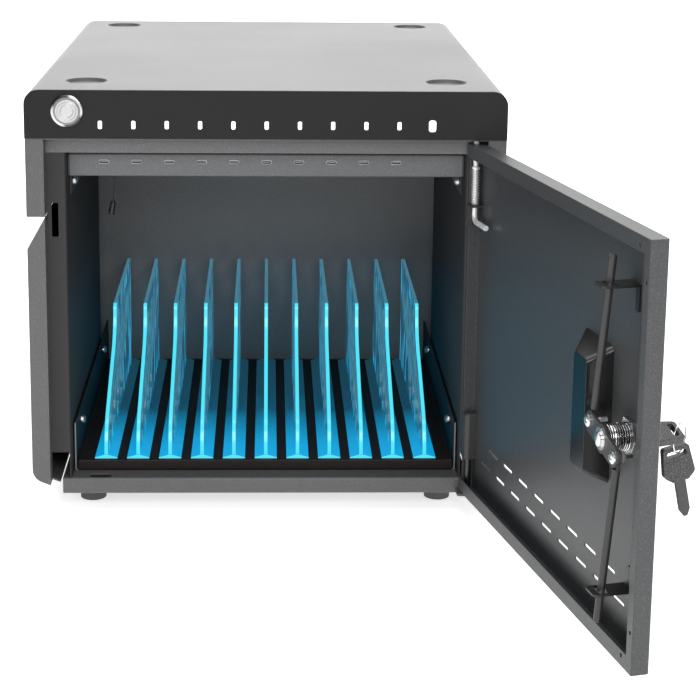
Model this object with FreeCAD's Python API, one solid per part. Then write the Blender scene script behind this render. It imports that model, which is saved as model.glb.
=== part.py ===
import FreeCAD, Part
import math
import os
from FreeCAD import Vector

# Desktop charging cabinet: a sheet-steel box with a tray of upright dividers, a row of charging
# ports above it, a rear compartment for the supply, and a hinged, key-locked door.
# Millimetres, Z up from the floor. X runs across the front and Y from the front plane to the back;
# every piece is moved at the end so that the origin lies on the floor under the middle of the body.

# Body
body_width = 400.0
body_depth = 505.0
body_height = 357.5
sheet = 1.2
inner_bend = 1.0
skin_corner = 12.0
seam = 0.3
flange_width = 15.2
frame_setback = 15.0

# Feet and the dimples in the top that take the feet of a second cabinet
foot_height = 16.0
foot_radius = 12.3
foot_inset_x = 46.8
foot_inset_front = 52.0
foot_inset_rear = 40.0
dimple_radius = 19.0
dimple_depth = 2.6
dimple_draft = 1.6

# Sides: the cover reaches down to the grip groove, the lower panels start under it
cover_height = 107.5
grip_height = 27.5
skirt_corner_height = 19.5
skirt_end_height = 10.7
skirt_gap = 2.0
skirt_thickness = 1.3
grip_lap = 8.0

# Base
base_inset = 24.0
sill_height = 14.4
rail_lip_margin = 8.0

# Device bay
bay_inset = 31.6
bay_step = 7.4
bay_step_length = 62.0
rear_depth = 136.0
wall_lap = 1.2
jamb_foot = 23.6
strike_drop = 57.7
strike_width = 5.6
strike_height = 29.3
strike_offset = 1.4

# Front fascia with its button and lights
fascia_height = 40.5
fascia_proud = 2.5
fascia_skirt = 8.0
fascia_wall = 2.0
light_rise = 11.6
light_width = 3.3
light_height = 6.7
main_light_width = 6.0
main_light_height = 9.6
light_clearance = 0.05
light_collar = 1.0
light_board_setback = 10.0
board_thickness = 1.6
button_inset = 35.6
button_rise = 23.2
bezel_radius = 13.6
bezel_thickness = 2.4
button_barrel_radius = 11.0
button_barrel_length = 26.0
button_cap_radius = 9.6
button_cap_proud = 0.5
button_cap_length = 6.0
button_travel = 2.0
button_clearance = 0.15
button_nut_flats = 24.0
button_nut_thickness = 4.0

# Charging places across the bay, each with a port and a light, between upright dividers
slot_pitch = 27.5
divider_pitch = 28.5
divider_side_gap = 6.0

# Header and port shelf
header_drop = 14.7
shelf_setback = 30.0
shelf_drop = 17.5
shelf_height = 20.3
shelf_flange = 14.0
shelf_ear = 18.0
port_width = 8.94
port_height = 3.26
port_length = 7.4
port_clearance = 0.2
port_skin = 0.35
standoff_height = 8.0
standoff_radius = 3.0
charger_board_margin = 14.5
standoff_inset = 12.0
charger_board_depth = 80.0

# Tray and dividers
tray_front = 33.5
tray_lip = 9.5
tray_lip_gap = 4.4
tray_side_gap = 1.0
tray_wing = 44.0
tray_back_gap = 6.0
divider_front = 62.0
divider_back_gap = 12.0
divider_height = 112.0
divider_thickness = 3.2
divider_foot_width = 19.8
divider_foot_edge = 1.0
divider_foot_ridge = 3.4
divider_lean = 113.0
divider_rim = 11.0
divider_rib = 8.0
divider_windows = 4

# Door
door_front = 0.4
door_thickness = 13.6
door_gap = 2.3
door_hinge_edge = 5.0
door_edge_radius = 1.6
door_swing_radius = 3.0
door_foot_gap = 8.8
door_head_gap = 4.2
door_angle = 103.15
hinge_inset = 9.3
lip_top = 11.5
lip_bottom = 11.5
lip_free = 9.0
return_hole_radius = 1.6
return_hole_edge = 7.6
return_hole_end = 17.0
return_hole_side = 30.0
vent_length = 21.0
vent_width = 3.0
vent_pitch = 34.5
vent_upper_start = 46.0
vent_upper_rise = 48.5
vent_lower_start = 29.5
vent_lower_rise = 31.5
vent_end_margin = 40.0

# Hinge bolt, its spring and guide, hung from the door's top edge
bolt_radius = 2.3
bolt_fit = 0.06
bolt_reach = 1.5
bolt_handle_drop = 66.5
bolt_handle = 28.6
bolt_bend = 6.0
bolt_ear_drop = 53.5
bolt_ear_thickness = 1.5
collar_drop = 21.5
collar_thickness = 2.0
spring_wire = 0.8
spring_radius = 3.05
spring_turns = 13
spring_rest_gap = 0.15

# Lower hinge
pin_radius = 2.5
pin_fit = 0.05
ear_gap = 1.0
ear_thickness = 2.0
hinge_block_height = 41.0
hinge_block_rise = 29.9
hinge_block_wall = 2.4

# Lock: u is the distance from the hinge axis, n the distance outwards from the door's middle plane
lock_edge = 42.0
lock_rise = 4.2
barrel_radius = 9.5
barrel_flange_radius = 12.0
barrel_flange = 2.5
barrel_depth = 15.0
barrel_fit = 0.15
plug_radius = 6.4
plug_fit = 0.06
lock_nut_flats = 24.0
lock_nut_thickness = 4.0
cam_thickness = 2.0
cam_gap = 0.7
cam_arm = 22.4
cam_end = 5.0
cam_rest_angle = 15.5
cam_width = 16.0
screw_shank = 2.0
pivot_fit = 0.05
pivot_head_radius = 4.6
pivot_head = 2.6
pivot_nut_flats = 7.0
pivot_nut_thickness = 3.0
pivot_shank_end = 4.0
cam_head_radius = 8.0
cam_head = 3.6

# Locking rods and their guides
rod_radius = 2.9
rod_eye_radius = 5.0
rod_eye_thickness = 2.4
rod_eye_gap = 0.3
rod_lean = 9.8
upper_rod_gap = 19.0
lower_rod_gap = 22.0
rod_hole_margin = 1.4
upper_guide_inset = 40.5
lower_guide_inset = 46.0
guide_leg = 19.0
guide_half_width = 8.2
guide_leg_width = 5.0
guide_nose_radius = 3.0
guide_thickness = 1.6
guide_tail = 5.0
guide_slot_half_width = 6.6
guide_slot_clearance = 0.8

# Pull cup
cup_lock_gap = 35.0
cup_width = 53.0
cup_below_lock = 48.3
cup_above_lock = 53.7
cup_depth = 19.0
cup_slope_hinge = 26.0
cup_slope_free = 4.0
cup_slope_end = 9.0
cup_wall = 2.0
cup_rim = 6.0
cup_rim_thickness = 2.0
cup_fit = 0.2

# Keys and ring
key_blade_width = 8.0
key_blade_thickness = 2.2
key_blade_length = 21.5
key_blade_tip = 5.0
key_slot_clearance = 0.15
key_bow_gap = 6.0
key_bow_length = 26.0
key_bow_width = 23.8
key_bow_end_width = 19.6
key_bow_thickness = 5.0
key_eye_width = 15.0
key_eye_height = 4.4
key_eye_strip = 3.0
ring_radius = 10.6
ring_wire = 0.6
ring_turn = 40.0
ring_drop = 5.2
ring_shift = 4.2
spare_key_tilt = 12.0
spare_key_lift = 2.6
spare_key_offset = 3.2

# Rear compartment
fan_size = 80.0
fan_thickness = 25.0
fan_x = 92.0
fan_height = 201.0
fan_bore = 38.0
fan_hub = 16.0
fan_hole_pitch = 71.5
fan_blades = 7
fan_tip_gap = 1.2
fan_shaft_radius = 2.0
grille_rings = 4
grille_spoke = 5.0
inlet_x = -120.0
inlet_height = 58.0
inlet_width = 28.0
inlet_tall = 20.5
inlet_flange_width = 50.0
inlet_flange_tall = 26.0
inlet_depth = 22.0
supply_length = 165.0
supply_width = 98.0
supply_height = 42.0
supply_x = -40.0
supply_step = 16.0
supply_slot = 5.0
pass_width = 34.0
pass_height = 12.0
supply_slots = 9
back_vent_length = 60.0
back_vent_width = 4.0
back_vent_pitch = 11.0
back_vent_count = 9

# Fasteners
screw_head_radius = 4.0
screw_head_height = 2.2
bay_head_height = 4.2
screw_length = 6.0
screw_radius = 1.9
shelf_screw_y = 60.0
wing_screw_y = 80.0
wing_screw_margin = 11.0
back_screw_low = 56.0
back_screw_drop = 40.0
back_screw_inset = 3.0

# Temperature probe on its lead under the port shelf
lead_radius = 0.8
lead_fit = 0.1
lead_inset = 38.2
lead_y = 44.0
lead_steps = [(0.0, 0.0, 0.0), (0.0, 0.0, -11.5), (0.7, 0.6, -18.0),
              (0.2, 1.0, -25.5), (-1.0, 0.6, -32.5)]
probe_length = 12.5
probe_radius = 2.6
grommet_radius = 2.4
grommet_flange = 0.8

# Derived places
half_width = body_width / 2
base_half_width = half_width - base_inset
bay_half_width = half_width - bay_inset
tray_lip_half = bay_half_width - tray_lip_gap
divider_room = bay_half_width - divider_foot_width / 2 - divider_side_gap
slot_count = int(2 * divider_room / divider_pitch)
charger_board_half = slot_count * slot_pitch / 2 + charger_board_margin
button_x = button_inset - half_width
lead_x = lead_inset - bay_half_width
shell_depth = body_depth - sheet
flange_x = half_width - flange_width
bay_depth = body_depth - rear_depth
bay_step_depth = bay_depth - bay_step_length
divider_rear = bay_depth - divider_back_gap
supply_y = (bay_depth + sheet + body_depth - inlet_depth) / 2
top = foot_height + body_height
sill = foot_height + sill_height
cover_bottom = top - cover_height
fascia_bottom = top - fascia_height
header_top = fascia_bottom - seam
header_bottom = header_top - header_drop
grip_top = cover_bottom - seam
shelf_top = header_top - shelf_drop
ceiling = shelf_top - shelf_height
tray_floor = sill + sheet
light_z = fascia_bottom + light_rise
button_z = fascia_bottom + button_rise
charger_board_z = ceiling + sheet + standoff_height
port_z = charger_board_z + board_thickness + port_height / 2
hinge_x = flange_x - hinge_inset
hinge_y = door_front + door_thickness / 2
hinge_axis = Vector(hinge_x, hinge_y, 0)
door_reach = hinge_x + flange_x - door_gap
lock_u = door_reach - lock_edge
cup_u_max = lock_u - cup_lock_gap
cup_u_min = cup_u_max - cup_width
door_bottom = sill - door_foot_gap
door_top = header_top - door_head_gap
ear_top = door_bottom - ear_gap
pin_top = door_bottom + hinge_block_rise + hinge_block_height * 0.8
skin_n = door_thickness / 2
inner_skin_n = skin_n - sheet
lock_z = (door_bottom + door_top) / 2 + lock_rise
key_tip_n = skin_n + barrel_flange - key_blade_length
cam_n = -barrel_depth - cam_gap
rod_n = cam_n + rod_eye_gap + rod_eye_thickness / 2
guide_n = rod_n - rod_radius - guide_slot_clearance - guide_tail
guide_z = {1: door_top - upper_guide_inset, -1: door_bottom + lower_guide_inset}
rod_end_z = {1: door_top - upper_rod_gap, -1: door_bottom + lower_rod_gap}
bolt_handle_z = door_top - bolt_handle_drop
bolt_ear_z = door_top - bolt_ear_drop
collar_z = door_top - collar_drop
key_end_n = skin_n + barrel_flange + key_bow_gap + key_bow_length


# General shapes

PLANES = {
    "xy": lambda u, v, w: Vector(u, v, w),
    "xz": lambda u, v, w: Vector(u, w, v),
    "yz": lambda u, v, w: Vector(w, u, v),
}


def outline(corners, plane, level):
    """Closed wire through corners (u, v) or (u, v, radius) on a plane at a level."""
    place = PLANES[plane]
    flat = [Vector(c[0], c[1], 0) for c in corners]
    joins = []
    for i, c in enumerate(corners):
        radius = c[2] if len(c) > 2 else 0
        if radius <= 0:
            joins.append((flat[i], None, flat[i]))
            continue
        back = (flat[i - 1] - flat[i]).normalize()
        ahead = (flat[(i + 1) % len(flat)] - flat[i]).normalize()
        half_angle = back.getAngle(ahead) / 2
        reach = radius / math.tan(half_angle)
        rise = radius / math.sin(half_angle) - radius
        middle = flat[i] + (back + ahead).normalize() * rise
        joins.append((flat[i] + back * reach, middle, flat[i] + ahead * reach))
    edges = []
    for i, (start, middle, end) in enumerate(joins):
        if middle is not None:
            arc = [place(p.x, p.y, level) for p in (start, middle, end)]
            edges.append(Part.Arc(*arc).toShape())
        following = joins[(i + 1) % len(joins)][0]
        if (following - end).Length > 1e-6:
            line = [place(p.x, p.y, level) for p in (end, following)]
            edges.append(Part.LineSegment(*line).toShape())
    return Part.Wire(edges)


def prism(corners, plane, start, end):
    """Solid of an outline drawn out between two levels."""
    return Part.Face(outline(corners, plane, start)).extrude(PLANES[plane](0, 0, end - start))


def rounded(u, v, width, height, radius=0.0):
    """Corners of a rectangle about a centre."""
    a, b = width / 2, height / 2
    return [(u - a, v - b, radius), (u + a, v - b, radius), (u + a, v + b, radius), (u - a, v + b, radius)]


def bent_sheet(path, plane, start, end, side, thickness=sheet):
    """Sheet bent along a path (u, v) or (u, v, inside radius), thick to its left (1) or right (-1)."""
    points = [Vector(p[0], p[1], 0) for p in path]
    near, far = [], []
    for i, p in enumerate(points):
        before = (p - points[i - 1]).normalize() if i else None
        after = (points[i + 1] - p).normalize() if i + 1 < len(points) else None
        first, last = before or after, after or before
        normal_in = Vector(-first.y, first.x, 0) * side
        normal_out = Vector(-last.y, last.x, 0) * side
        mitre = (normal_in + normal_out).normalize()
        shifted = p + mitre * (thickness / mitre.dot(normal_in))
        if before is None or after is None:
            near.append((p.x, p.y))
            far.append((shifted.x, shifted.y))
            continue
        inside = path[i][2] if len(path[i]) > 2 else inner_bend
        toward = (before.x * after.y - before.y * after.x) * side > 0
        near.append((p.x, p.y, inside + thickness if toward else inside))
        far.append((shifted.x, shifted.y, inside if toward else inside + thickness))
    return prism(near + far[::-1], plane, start, end)


def box(x, y, z):
    """Box between pairs of limits."""
    return Part.makeBox(x[1] - x[0], y[1] - y[0], z[1] - z[0], Vector(x[0], y[0], z[0]))


def bar(radius, start, end):
    """Round bar between two points."""
    return Part.makeCylinder(radius, (end - start).Length, start, end - start)


def hexagon(flats, centre, axis, length):
    """Hexagonal bar about an axis through a point, with a flat towards Z."""
    reach = flats / math.sqrt(3)
    across = axis.cross(Vector(0, 0, 1)).normalize()
    points = []
    for i in range(7):
        turn = math.radians(60 * i)
        points.append(centre + across * (reach * math.cos(turn)) + Vector(0, 0, reach * math.sin(turn)))
    return Part.Face(Part.makePolygon(points)).extrude(axis * length)


def fused(first, *others):
    """One solid from several that share faces."""
    return first.fuse(list(others)).removeSplitter()


def slot_end(width):
    """Corner radius that rounds a slot's end and leaves a hair of flat."""
    return width / 2 - 0.01


def mirrored(shape):
    """The same piece on the other side of the cabinet."""
    return shape.mirror(Vector(0, 0, 0), Vector(1, 0, 0))


def grid_x(index, pitch=slot_pitch):
    """X of one of the positions across the bay."""
    return (index - slot_count / 2) * pitch


def foot_places():
    """Plan positions of the feet and of the dimples above them."""
    xs = (-half_width + foot_inset_x, half_width - foot_inset_x)
    ys = (foot_inset_front, body_depth - foot_inset_rear)
    return [(x, y) for x in xs for y in ys]


# Sheet-metal body

def top_cover():
    inside = skin_corner - sheet
    path = [(-flange_x, cover_bottom), (-half_width, cover_bottom), (-half_width, top, inside),
            (half_width, top, inside), (half_width, cover_bottom), (flange_x, cover_bottom)]
    shell = bent_sheet(path, "xz", 0, shell_depth, -1)
    front = box((flange_x, half_width), (0, sheet), (cover_bottom, header_top))
    hem = box((flange_x, flange_x + sheet), (0, frame_setback), (cover_bottom, header_top))
    skin = [(-half_width, cover_bottom), (half_width, cover_bottom),
            (half_width, top, skin_corner), (-half_width, top, skin_corner)]
    rear = prism(skin, "xz", shell_depth - sheet, shell_depth)
    rear = rear.cut(box((-flange_x, flange_x), (0, body_depth), (0, top - flange_width)))
    shell = fused(shell, front, hem, mirrored(front), mirrored(hem), rear)
    for x, y in foot_places():
        shell = shell.cut(bar(dimple_radius - sheet, Vector(x, y, top - 2 * sheet), Vector(x, y, top + 1)))
        low = top - dimple_depth - sheet
        narrow = dimple_radius - dimple_draft
        dish = Part.makeCone(narrow, dimple_radius, dimple_depth + sheet, Vector(x, y, low))
        floor = Vector(x, y, low + sheet)
        hollow = Part.makeCone(narrow - sheet, dimple_radius - sheet, dimple_depth, floor)
        shell = shell.fuse(dish.cut(hollow)).cut(hollow).removeSplitter()
    return shell


def skirt_height(x):
    """Height of the sloping underside of a lower side panel."""
    run = half_width - base_half_width - skirt_gap
    rise = skirt_corner_height - skirt_end_height
    return foot_height + skirt_end_height + (x - base_half_width - skirt_gap) * rise / run


def side_panel():
    grip_bottom = cover_bottom - grip_height
    corner = foot_height + skirt_corner_height
    skin = [(flange_x, grip_top), (half_width, grip_bottom, inner_bend + sheet),
            (half_width, corner, skin_corner), (flange_x, skirt_height(flange_x))]
    slope = (half_width - flange_x) / (grip_top - grip_bottom)
    inset_grip = sheet * math.sqrt(1 + 1 / slope ** 2)
    inner_x = half_width - sheet
    hem_x = flange_x + sheet
    hollow = [(hem_x, grip_top - inset_grip - sheet / slope),
              (inner_x, grip_bottom - inset_grip + sheet / slope),
              (inner_x, corner + skirt_thickness, skin_corner - sheet),
              (hem_x, skirt_height(hem_x) + skirt_thickness)]
    panel = prism(skin, "xz", 0, shell_depth)
    panel = panel.cut(prism(hollow, "xz", sheet, shell_depth - sheet))
    window = box((flange_x - 1, hem_x + seam), (frame_setback, shell_depth - sheet),
                 (skirt_height(hem_x) + skirt_thickness, grip_top - grip_lap))
    end_x = base_half_width + skirt_gap
    lip = [(x, skirt_height(x) + rise) for x, rise in
           ((hem_x, 0), (end_x, 0), (end_x, skirt_thickness), (hem_x, skirt_thickness))]
    return fused(panel.cut(window), prism(lip, "xz", frame_setback, shell_depth))


def base_pan():
    front, back = frame_setback, body_depth - frame_setback
    margin = foot_radius + rail_lip_margin
    lips = (foot_inset_front + margin, body_depth - foot_inset_rear - margin)
    path = [(lips[0], foot_height), (front, foot_height), (front, sill),
            (back, sill), (back, foot_height), (lips[1], foot_height)]
    pan = bent_sheet(path, "yz", -base_half_width, base_half_width, -1)
    ends = (front + 2 * sheet, back - 2 * sheet)
    flange = box((base_half_width - sheet, base_half_width), ends, (foot_height, sill))
    pan = fused(pan, flange, mirrored(flange))
    tip = door_point(guide_u(-1), rod_n, sill)
    catch = rounded(tip.x, tip.y, 2 * (rod_radius + guide_slot_half_width),
                    2 * (rod_radius + rod_hole_margin), rod_radius)
    return pan.cut(prism(catch, "xy", sill - 2 * sheet, sill + 1))


def rubber_feet():
    feet = []
    for x, y in foot_places():
        foot = Part.makeCone(foot_radius - 1.0, foot_radius, foot_height, Vector(x, y, 0))
        recess = bar(foot_radius / 2, Vector(x, y, 0), Vector(x, y, foot_height / 3))
        feet.append(foot.cut(recess))
    return Part.makeCompound(feet)


def back_panel():
    rear = body_depth
    z_low, z_high = sill + seam, top - flange_width / 2
    x_edge = (flange_x + half_width) / 2
    panel = box((-x_edge, x_edge), (rear - sheet, rear), (z_low, z_high))
    fan_z = foot_height + fan_height
    ring_step = fan_bore / (grille_rings + 0.5)
    for i in range(grille_rings):
        outer = ring_step * (i + 1.4)
        inner = outer - ring_step * 0.62
        start, end = Vector(fan_x, rear - 2 * sheet, fan_z), Vector(fan_x, rear + sheet, fan_z)
        slot = bar(outer, start, end).cut(bar(inner, start, end))
        half_spoke = grille_spoke / 2
        upright = box((fan_x - half_spoke, fan_x + half_spoke), (start.y, end.y), (z_low, z_high))
        level = box((-x_edge, x_edge), (start.y, end.y), (fan_z - half_spoke, fan_z + half_spoke))
        panel = panel.cut(slot.cut(upright).cut(level))
    inlet_z = foot_height + inlet_height
    hole = rounded(inlet_x, inlet_z, inlet_width + 2 * seam, inlet_tall + 2 * seam, 1.5)
    panel = panel.cut(prism(hole, "xz", rear - 2 * sheet, rear + 1))
    for i in range(back_vent_count):
        x = -x_edge / 2 + (i - (back_vent_count - 1) / 2) * back_vent_pitch
        vent = rounded(x, fan_z, back_vent_width, back_vent_length, slot_end(back_vent_width))
        panel = panel.cut(prism(vent, "xz", rear - 2 * sheet, rear + 1))
    return panel


def header_bar():
    rear = frame_setback + sheet
    path = [(sheet / 2, header_top), (rear, header_top), (rear, header_bottom)]
    header = bent_sheet(path, "yz", -flange_x, flange_x, -1)
    return header.cut(bar(bolt_radius + bolt_fit, hinge_axis, hinge_axis + Vector(0, 0, top)))


def inner_wall():
    front, rear = flange_x + wall_lap, flange_x - seam
    step_x = bay_half_width + bay_step
    path = [(front, frame_setback), (bay_half_width, frame_setback), (bay_half_width, bay_step_depth),
            (step_x, bay_step_depth), (step_x, bay_depth), (rear, bay_depth)]
    wall = bent_sheet(path, "xy", sill, header_bottom, -1)
    grip_z = (grip_top - grip_lap - seam, cover_bottom + sheet + seam)
    grip = box((rear, half_width), (0, body_depth), grip_z)
    recess = box((bay_half_width + sheet, half_width), (0, frame_setback + 2 * sheet), (0, sill + jamb_foot))
    return skirt_notch(wall.cut(grip).cut(recess))


def skirt_notch(shape):
    """An upright sheet with its lower corner cut away over the side panel's skirt."""
    edge = base_half_width + skirt_gap - seam
    height = skirt_height(flange_x + wall_lap) + skirt_thickness + seam
    return shape.cut(box((edge, half_width), (0, body_depth), (0, height)))


def left_inner_wall():
    strike_x = -(bay_half_width + flange_x) / 2 - strike_offset
    strike = rounded(strike_x, header_bottom - strike_drop, strike_width, strike_height, 1.0)
    return mirrored(inner_wall()).cut(prism(strike, "xz", frame_setback - 1, frame_setback + 2 * sheet))


def rear_partition():
    edge = flange_x - seam
    path = [(bay_depth, sill), (bay_depth, header_top), (bay_depth + flange_width, header_top)]
    plate = bent_sheet(path, "yz", -edge, edge, -1)
    plate = skirt_notch(mirrored(skirt_notch(plate)))
    pass_hole = rounded(supply_x, shelf_top - shelf_height / 2, pass_width, pass_height, 5.0)
    return plate.cut(prism(pass_hole, "xz", bay_depth - 1, bay_depth + 2 * sheet))


def port_shelf():
    edge = bay_half_width - seam
    rear = bay_depth - seam
    path = [(shelf_setback + shelf_flange, shelf_top), (shelf_setback, shelf_top),
            (shelf_setback, ceiling), (rear, ceiling), (rear, ceiling + shelf_flange)]
    shelf = bent_sheet(path, "yz", -edge, edge, 1)
    ear_run = (shelf_setback + shelf_flange, bay_step_depth - shelf_flange)
    ear = box((edge - sheet, edge), ear_run, (ceiling - shelf_ear, ceiling + sheet))
    shelf = fused(shelf, ear, mirrored(ear))
    for i in range(slot_count):
        clear = 2 * port_clearance
        hole = rounded(grid_x(i), port_z, port_width + clear, port_height + clear, port_height / 2)
        shelf = shelf.cut(prism(hole, "xz", shelf_setback - 1, shelf_setback + 2 * sheet))
    under = Vector(lead_x, lead_y, ceiling - sheet)
    return shelf.cut(bar(grommet_radius, under, under + Vector(0, 0, 3 * sheet)))


def device_tray():
    edge = bay_half_width - seam - tray_side_gap
    rear = bay_depth - tray_back_gap
    path = [(-edge, sill + tray_wing), (-edge, sill), (edge, sill), (edge, sill + tray_wing)]
    tray = bent_sheet(path, "xz", tray_front, rear, 1)
    lip_path = [(tray_front, sill + tray_lip), (tray_front, sill), (divider_front, sill)]
    lip = bent_sheet(lip_path, "yz", -tray_lip_half, tray_lip_half, 1)
    inside = edge - 2 * sheet
    relief = box((-inside, inside), (0, tray_front + 2 * sheet), (sill - 1, sill + tray_lip))
    return fused(tray.cut(relief), lip)


# Dividers

def wave(offset, low, high):
    """S-shaped line in the side view of a divider: upright, leaning back, upright again."""
    start = divider_front + offset
    end = start + divider_lean
    third = (high - low) / 4
    return [(start, low), (start + 4, low + third, 40), (end - 4, high - third, 40), (end, high)]


def divider(index):
    x = grid_x(index, divider_pitch)
    low, high = tray_floor, tray_floor + divider_height
    rear = divider_rear
    corners = wave(0, low, high) + [(rear, high, 5), (rear, low)]
    corners[3] = corners[3] + (6,)
    fin = prism(corners, "yz", x - divider_thickness / 2, x + divider_thickness / 2)
    bottom, ceiling_z = low + divider_rim, high - divider_rim
    span = (rear - divider_rim) - (divider_front + divider_lean + divider_rim)
    width = (span - divider_rib * (divider_windows - 1)) / divider_windows
    for i in range(divider_windows):
        begin = divider_rim + i * (width + divider_rib)
        window = wave(begin, bottom, ceiling_z) + wave(begin + width, bottom, ceiling_z)[::-1]
        fin = fin.cut(prism(window, "yz", x - divider_thickness, x + divider_thickness))
    a, b = divider_foot_width / 2, divider_thickness / 2
    edge, ridge = low + divider_foot_edge, low + divider_foot_ridge
    roof = [(x - a, low), (x + a, low), (x + a, edge), (x + b, ridge), (x - b, ridge), (x - a, edge)]
    return fused(fin, prism(roof, "xz", divider_front - 1, rear))


# Fascia, button and lights

def light_size(index):
    """Width and height of a light in the fascia; the last is the larger mains light."""
    if index < slot_count:
        return light_width, light_height
    return main_light_width, main_light_height


def front_fascia():
    def face(inset):
        low, high, side = fascia_bottom + inset, top - inset, half_width - inset
        corner = skin_corner - inset
        return [(-side, low), (side, low), (side, high, corner), (-side, high, corner)]

    fit = sheet + seam
    plate = prism(face(0), "xz", -fascia_proud, 0)
    skirt = prism(face(fit), "xz", 0, fascia_skirt)
    skirt = skirt.cut(prism(face(fit + fascia_wall), "xz", 0, fascia_skirt))
    fascia = fused(plate, skirt)
    posts = []
    middle = slot_count / 2
    for index in (0.5, middle - 1.5, middle + 1.5, slot_count - 0.5):
        start = Vector(grid_x(index), 0, light_z + light_rise)
        posts.append(bar(standoff_radius, start, start + Vector(0, light_board_setback, 0)))
    fascia = fused(fascia, *posts)
    hole_radius = button_barrel_radius + button_clearance
    fascia = fascia.cut(bar(hole_radius, button_axis(-fascia_proud - 1), button_axis(1)))
    for i in range(slot_count + 1):
        width, height = light_size(i)
        gap = 2 * light_clearance
        hole = rounded(grid_x(i), light_z, width + gap, height + gap, width / 3)
        fascia = fascia.cut(prism(hole, "xz", -fascia_proud - 1, 1))
    return fascia


def light_guides():
    guides = []
    for i in range(slot_count + 1):
        width, height = light_size(i)
        corner, wide = width / 3, 2 * light_collar
        head = rounded(grid_x(i), light_z, width, height, corner)
        collar = rounded(grid_x(i), light_z, width + wide, height + wide, corner)
        stem = prism(head, "xz", -fascia_proud, light_board_setback)
        guides.append(fused(stem, prism(collar, "xz", 0, light_collar)))
    return Part.makeCompound(guides)


def light_board():
    edge = grid_x(slot_count) + main_light_width + light_collar
    low, high = light_z - light_rise / 2, light_z + 2 * light_rise - fascia_wall
    return box((-edge, edge), (light_board_setback, light_board_setback + board_thickness), (low, high))


def button_axis(y):
    return Vector(button_x, y, button_z)


def button_housing():
    front = -fascia_proud - bezel_thickness
    floor = front + button_cap_length + button_travel
    bezel = bar(bezel_radius, button_axis(front), button_axis(-fascia_proud))
    rim = [e for e in bezel.Edges if abs(e.CenterOfMass.y - front) < 0.01]
    bezel = bezel.makeFillet(bezel_thickness * 0.6, rim)
    barrel = bar(button_barrel_radius, button_axis(-fascia_proud), button_axis(button_barrel_length))
    bore = bar(button_cap_radius + button_clearance, button_axis(front - 1), button_axis(floor))
    return fused(bezel, barrel).cut(bore)


def button_cap():
    front = -fascia_proud - bezel_thickness - button_cap_proud
    cap = bar(button_cap_radius, button_axis(front), button_axis(front + button_cap_length))
    for radius in (button_cap_radius * 0.55, button_cap_radius * 0.8):
        ring = Part.makeTorus(radius, 0.35, button_axis(front), Vector(0, 1, 0))
        cap = cap.cut(ring)
    return cap


def button_nut():
    nut = hexagon(button_nut_flats, button_axis(0), Vector(0, 1, 0), button_nut_thickness)
    return nut.cut(bar(button_barrel_radius, button_axis(-1), button_axis(button_nut_thickness + 1)))


# Charging electronics

def standoff_places():
    xs = (standoff_inset - charger_board_half, 0, charger_board_half - standoff_inset)
    y = shelf_setback + shelf_flange
    return [(x, y + dy) for x in xs for dy in (0, charger_board_depth - 2 * shelf_flange)]


def board_standoffs():
    low = ceiling + sheet
    tall = Vector(0, 0, standoff_height)
    feet = [Vector(x, y, low) for x, y in standoff_places()]
    return Part.makeCompound([bar(standoff_radius, foot, foot + tall) for foot in feet])


def charger_board():
    start = shelf_setback + sheet + seam
    return box((-charger_board_half, charger_board_half), (start, start + charger_board_depth),
               (charger_board_z, charger_board_z + board_thickness))


def usb_receptacles():
    shells = []
    front = shelf_setback + 0.3
    for i in range(slot_count):
        x = grid_x(i)
        wall = 2 * port_skin
        skin = rounded(x, port_z, port_width, port_height, slot_end(port_height))
        mouth = rounded(x, port_z, port_width - wall, port_height - wall, slot_end(port_height - wall))
        shell = prism(skin, "xz", front, front + port_length)
        shell = shell.cut(prism(mouth, "xz", front - 1, front + port_length - 1.5))
        tongue = prism(rounded(x, port_z, port_width - 2.4, 0.7), "xz", front + 0.8, front + port_length - 1)
        shells.append(fused(shell, tongue))
    return Part.makeCompound(shells)


def power_supply():
    x0, x1 = supply_x - supply_length / 2, supply_x + supply_length / 2
    y0, y1 = supply_y - supply_width / 2, supply_y + supply_width / 2
    case = box((x0, x1), (y0, y1), (sill, sill + supply_height))
    lid = sill + supply_height
    step_z = (sill + supply_height / 2, lid + 1)
    case = case.cut(box((x1 - supply_step, x1 + 1), (y0 - 1, y1 + 1), step_z))
    for i in range(supply_slots):
        x = x0 + (i + 1) * (supply_length - supply_step) / (supply_slots + 1)
        slot = rounded(x, supply_y, supply_slot, supply_width * 0.6, slot_end(supply_slot))
        case = case.cut(prism(slot, "xy", lid - 3, lid + 1))
    return case


def mains_inlet():
    rear = body_depth
    z = foot_height + inlet_height
    flange = prism(rounded(inlet_x, z, inlet_flange_width, inlet_flange_tall, 6), "xz", rear, rear + 2.0)
    body = prism(rounded(inlet_x, z, inlet_width, inlet_tall, 1.5), "xz", rear - inlet_depth, rear + 2.0)
    mouth = [(inlet_x - 12, z - 8, 1), (inlet_x + 12, z - 8, 1), (inlet_x + 12, z + 3, 1),
             (inlet_x + 7, z + 8, 1), (inlet_x - 7, z + 8, 1), (inlet_x - 12, z + 3, 1)]
    shell = fused(flange, body).cut(prism(mouth, "xz", rear - inlet_depth + 4, rear + 3))
    pins = []
    for dx, dz in ((-7, -1), (7, -1), (0, 3)):
        pin = rounded(inlet_x + dx, z + dz, 2, 4)
        pins.append(prism(pin, "xz", rear - inlet_depth + 4, rear - 2))
    return fused(shell, *pins)


def fan_point(y):
    return Vector(fan_x, y, foot_height + fan_height)


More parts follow.
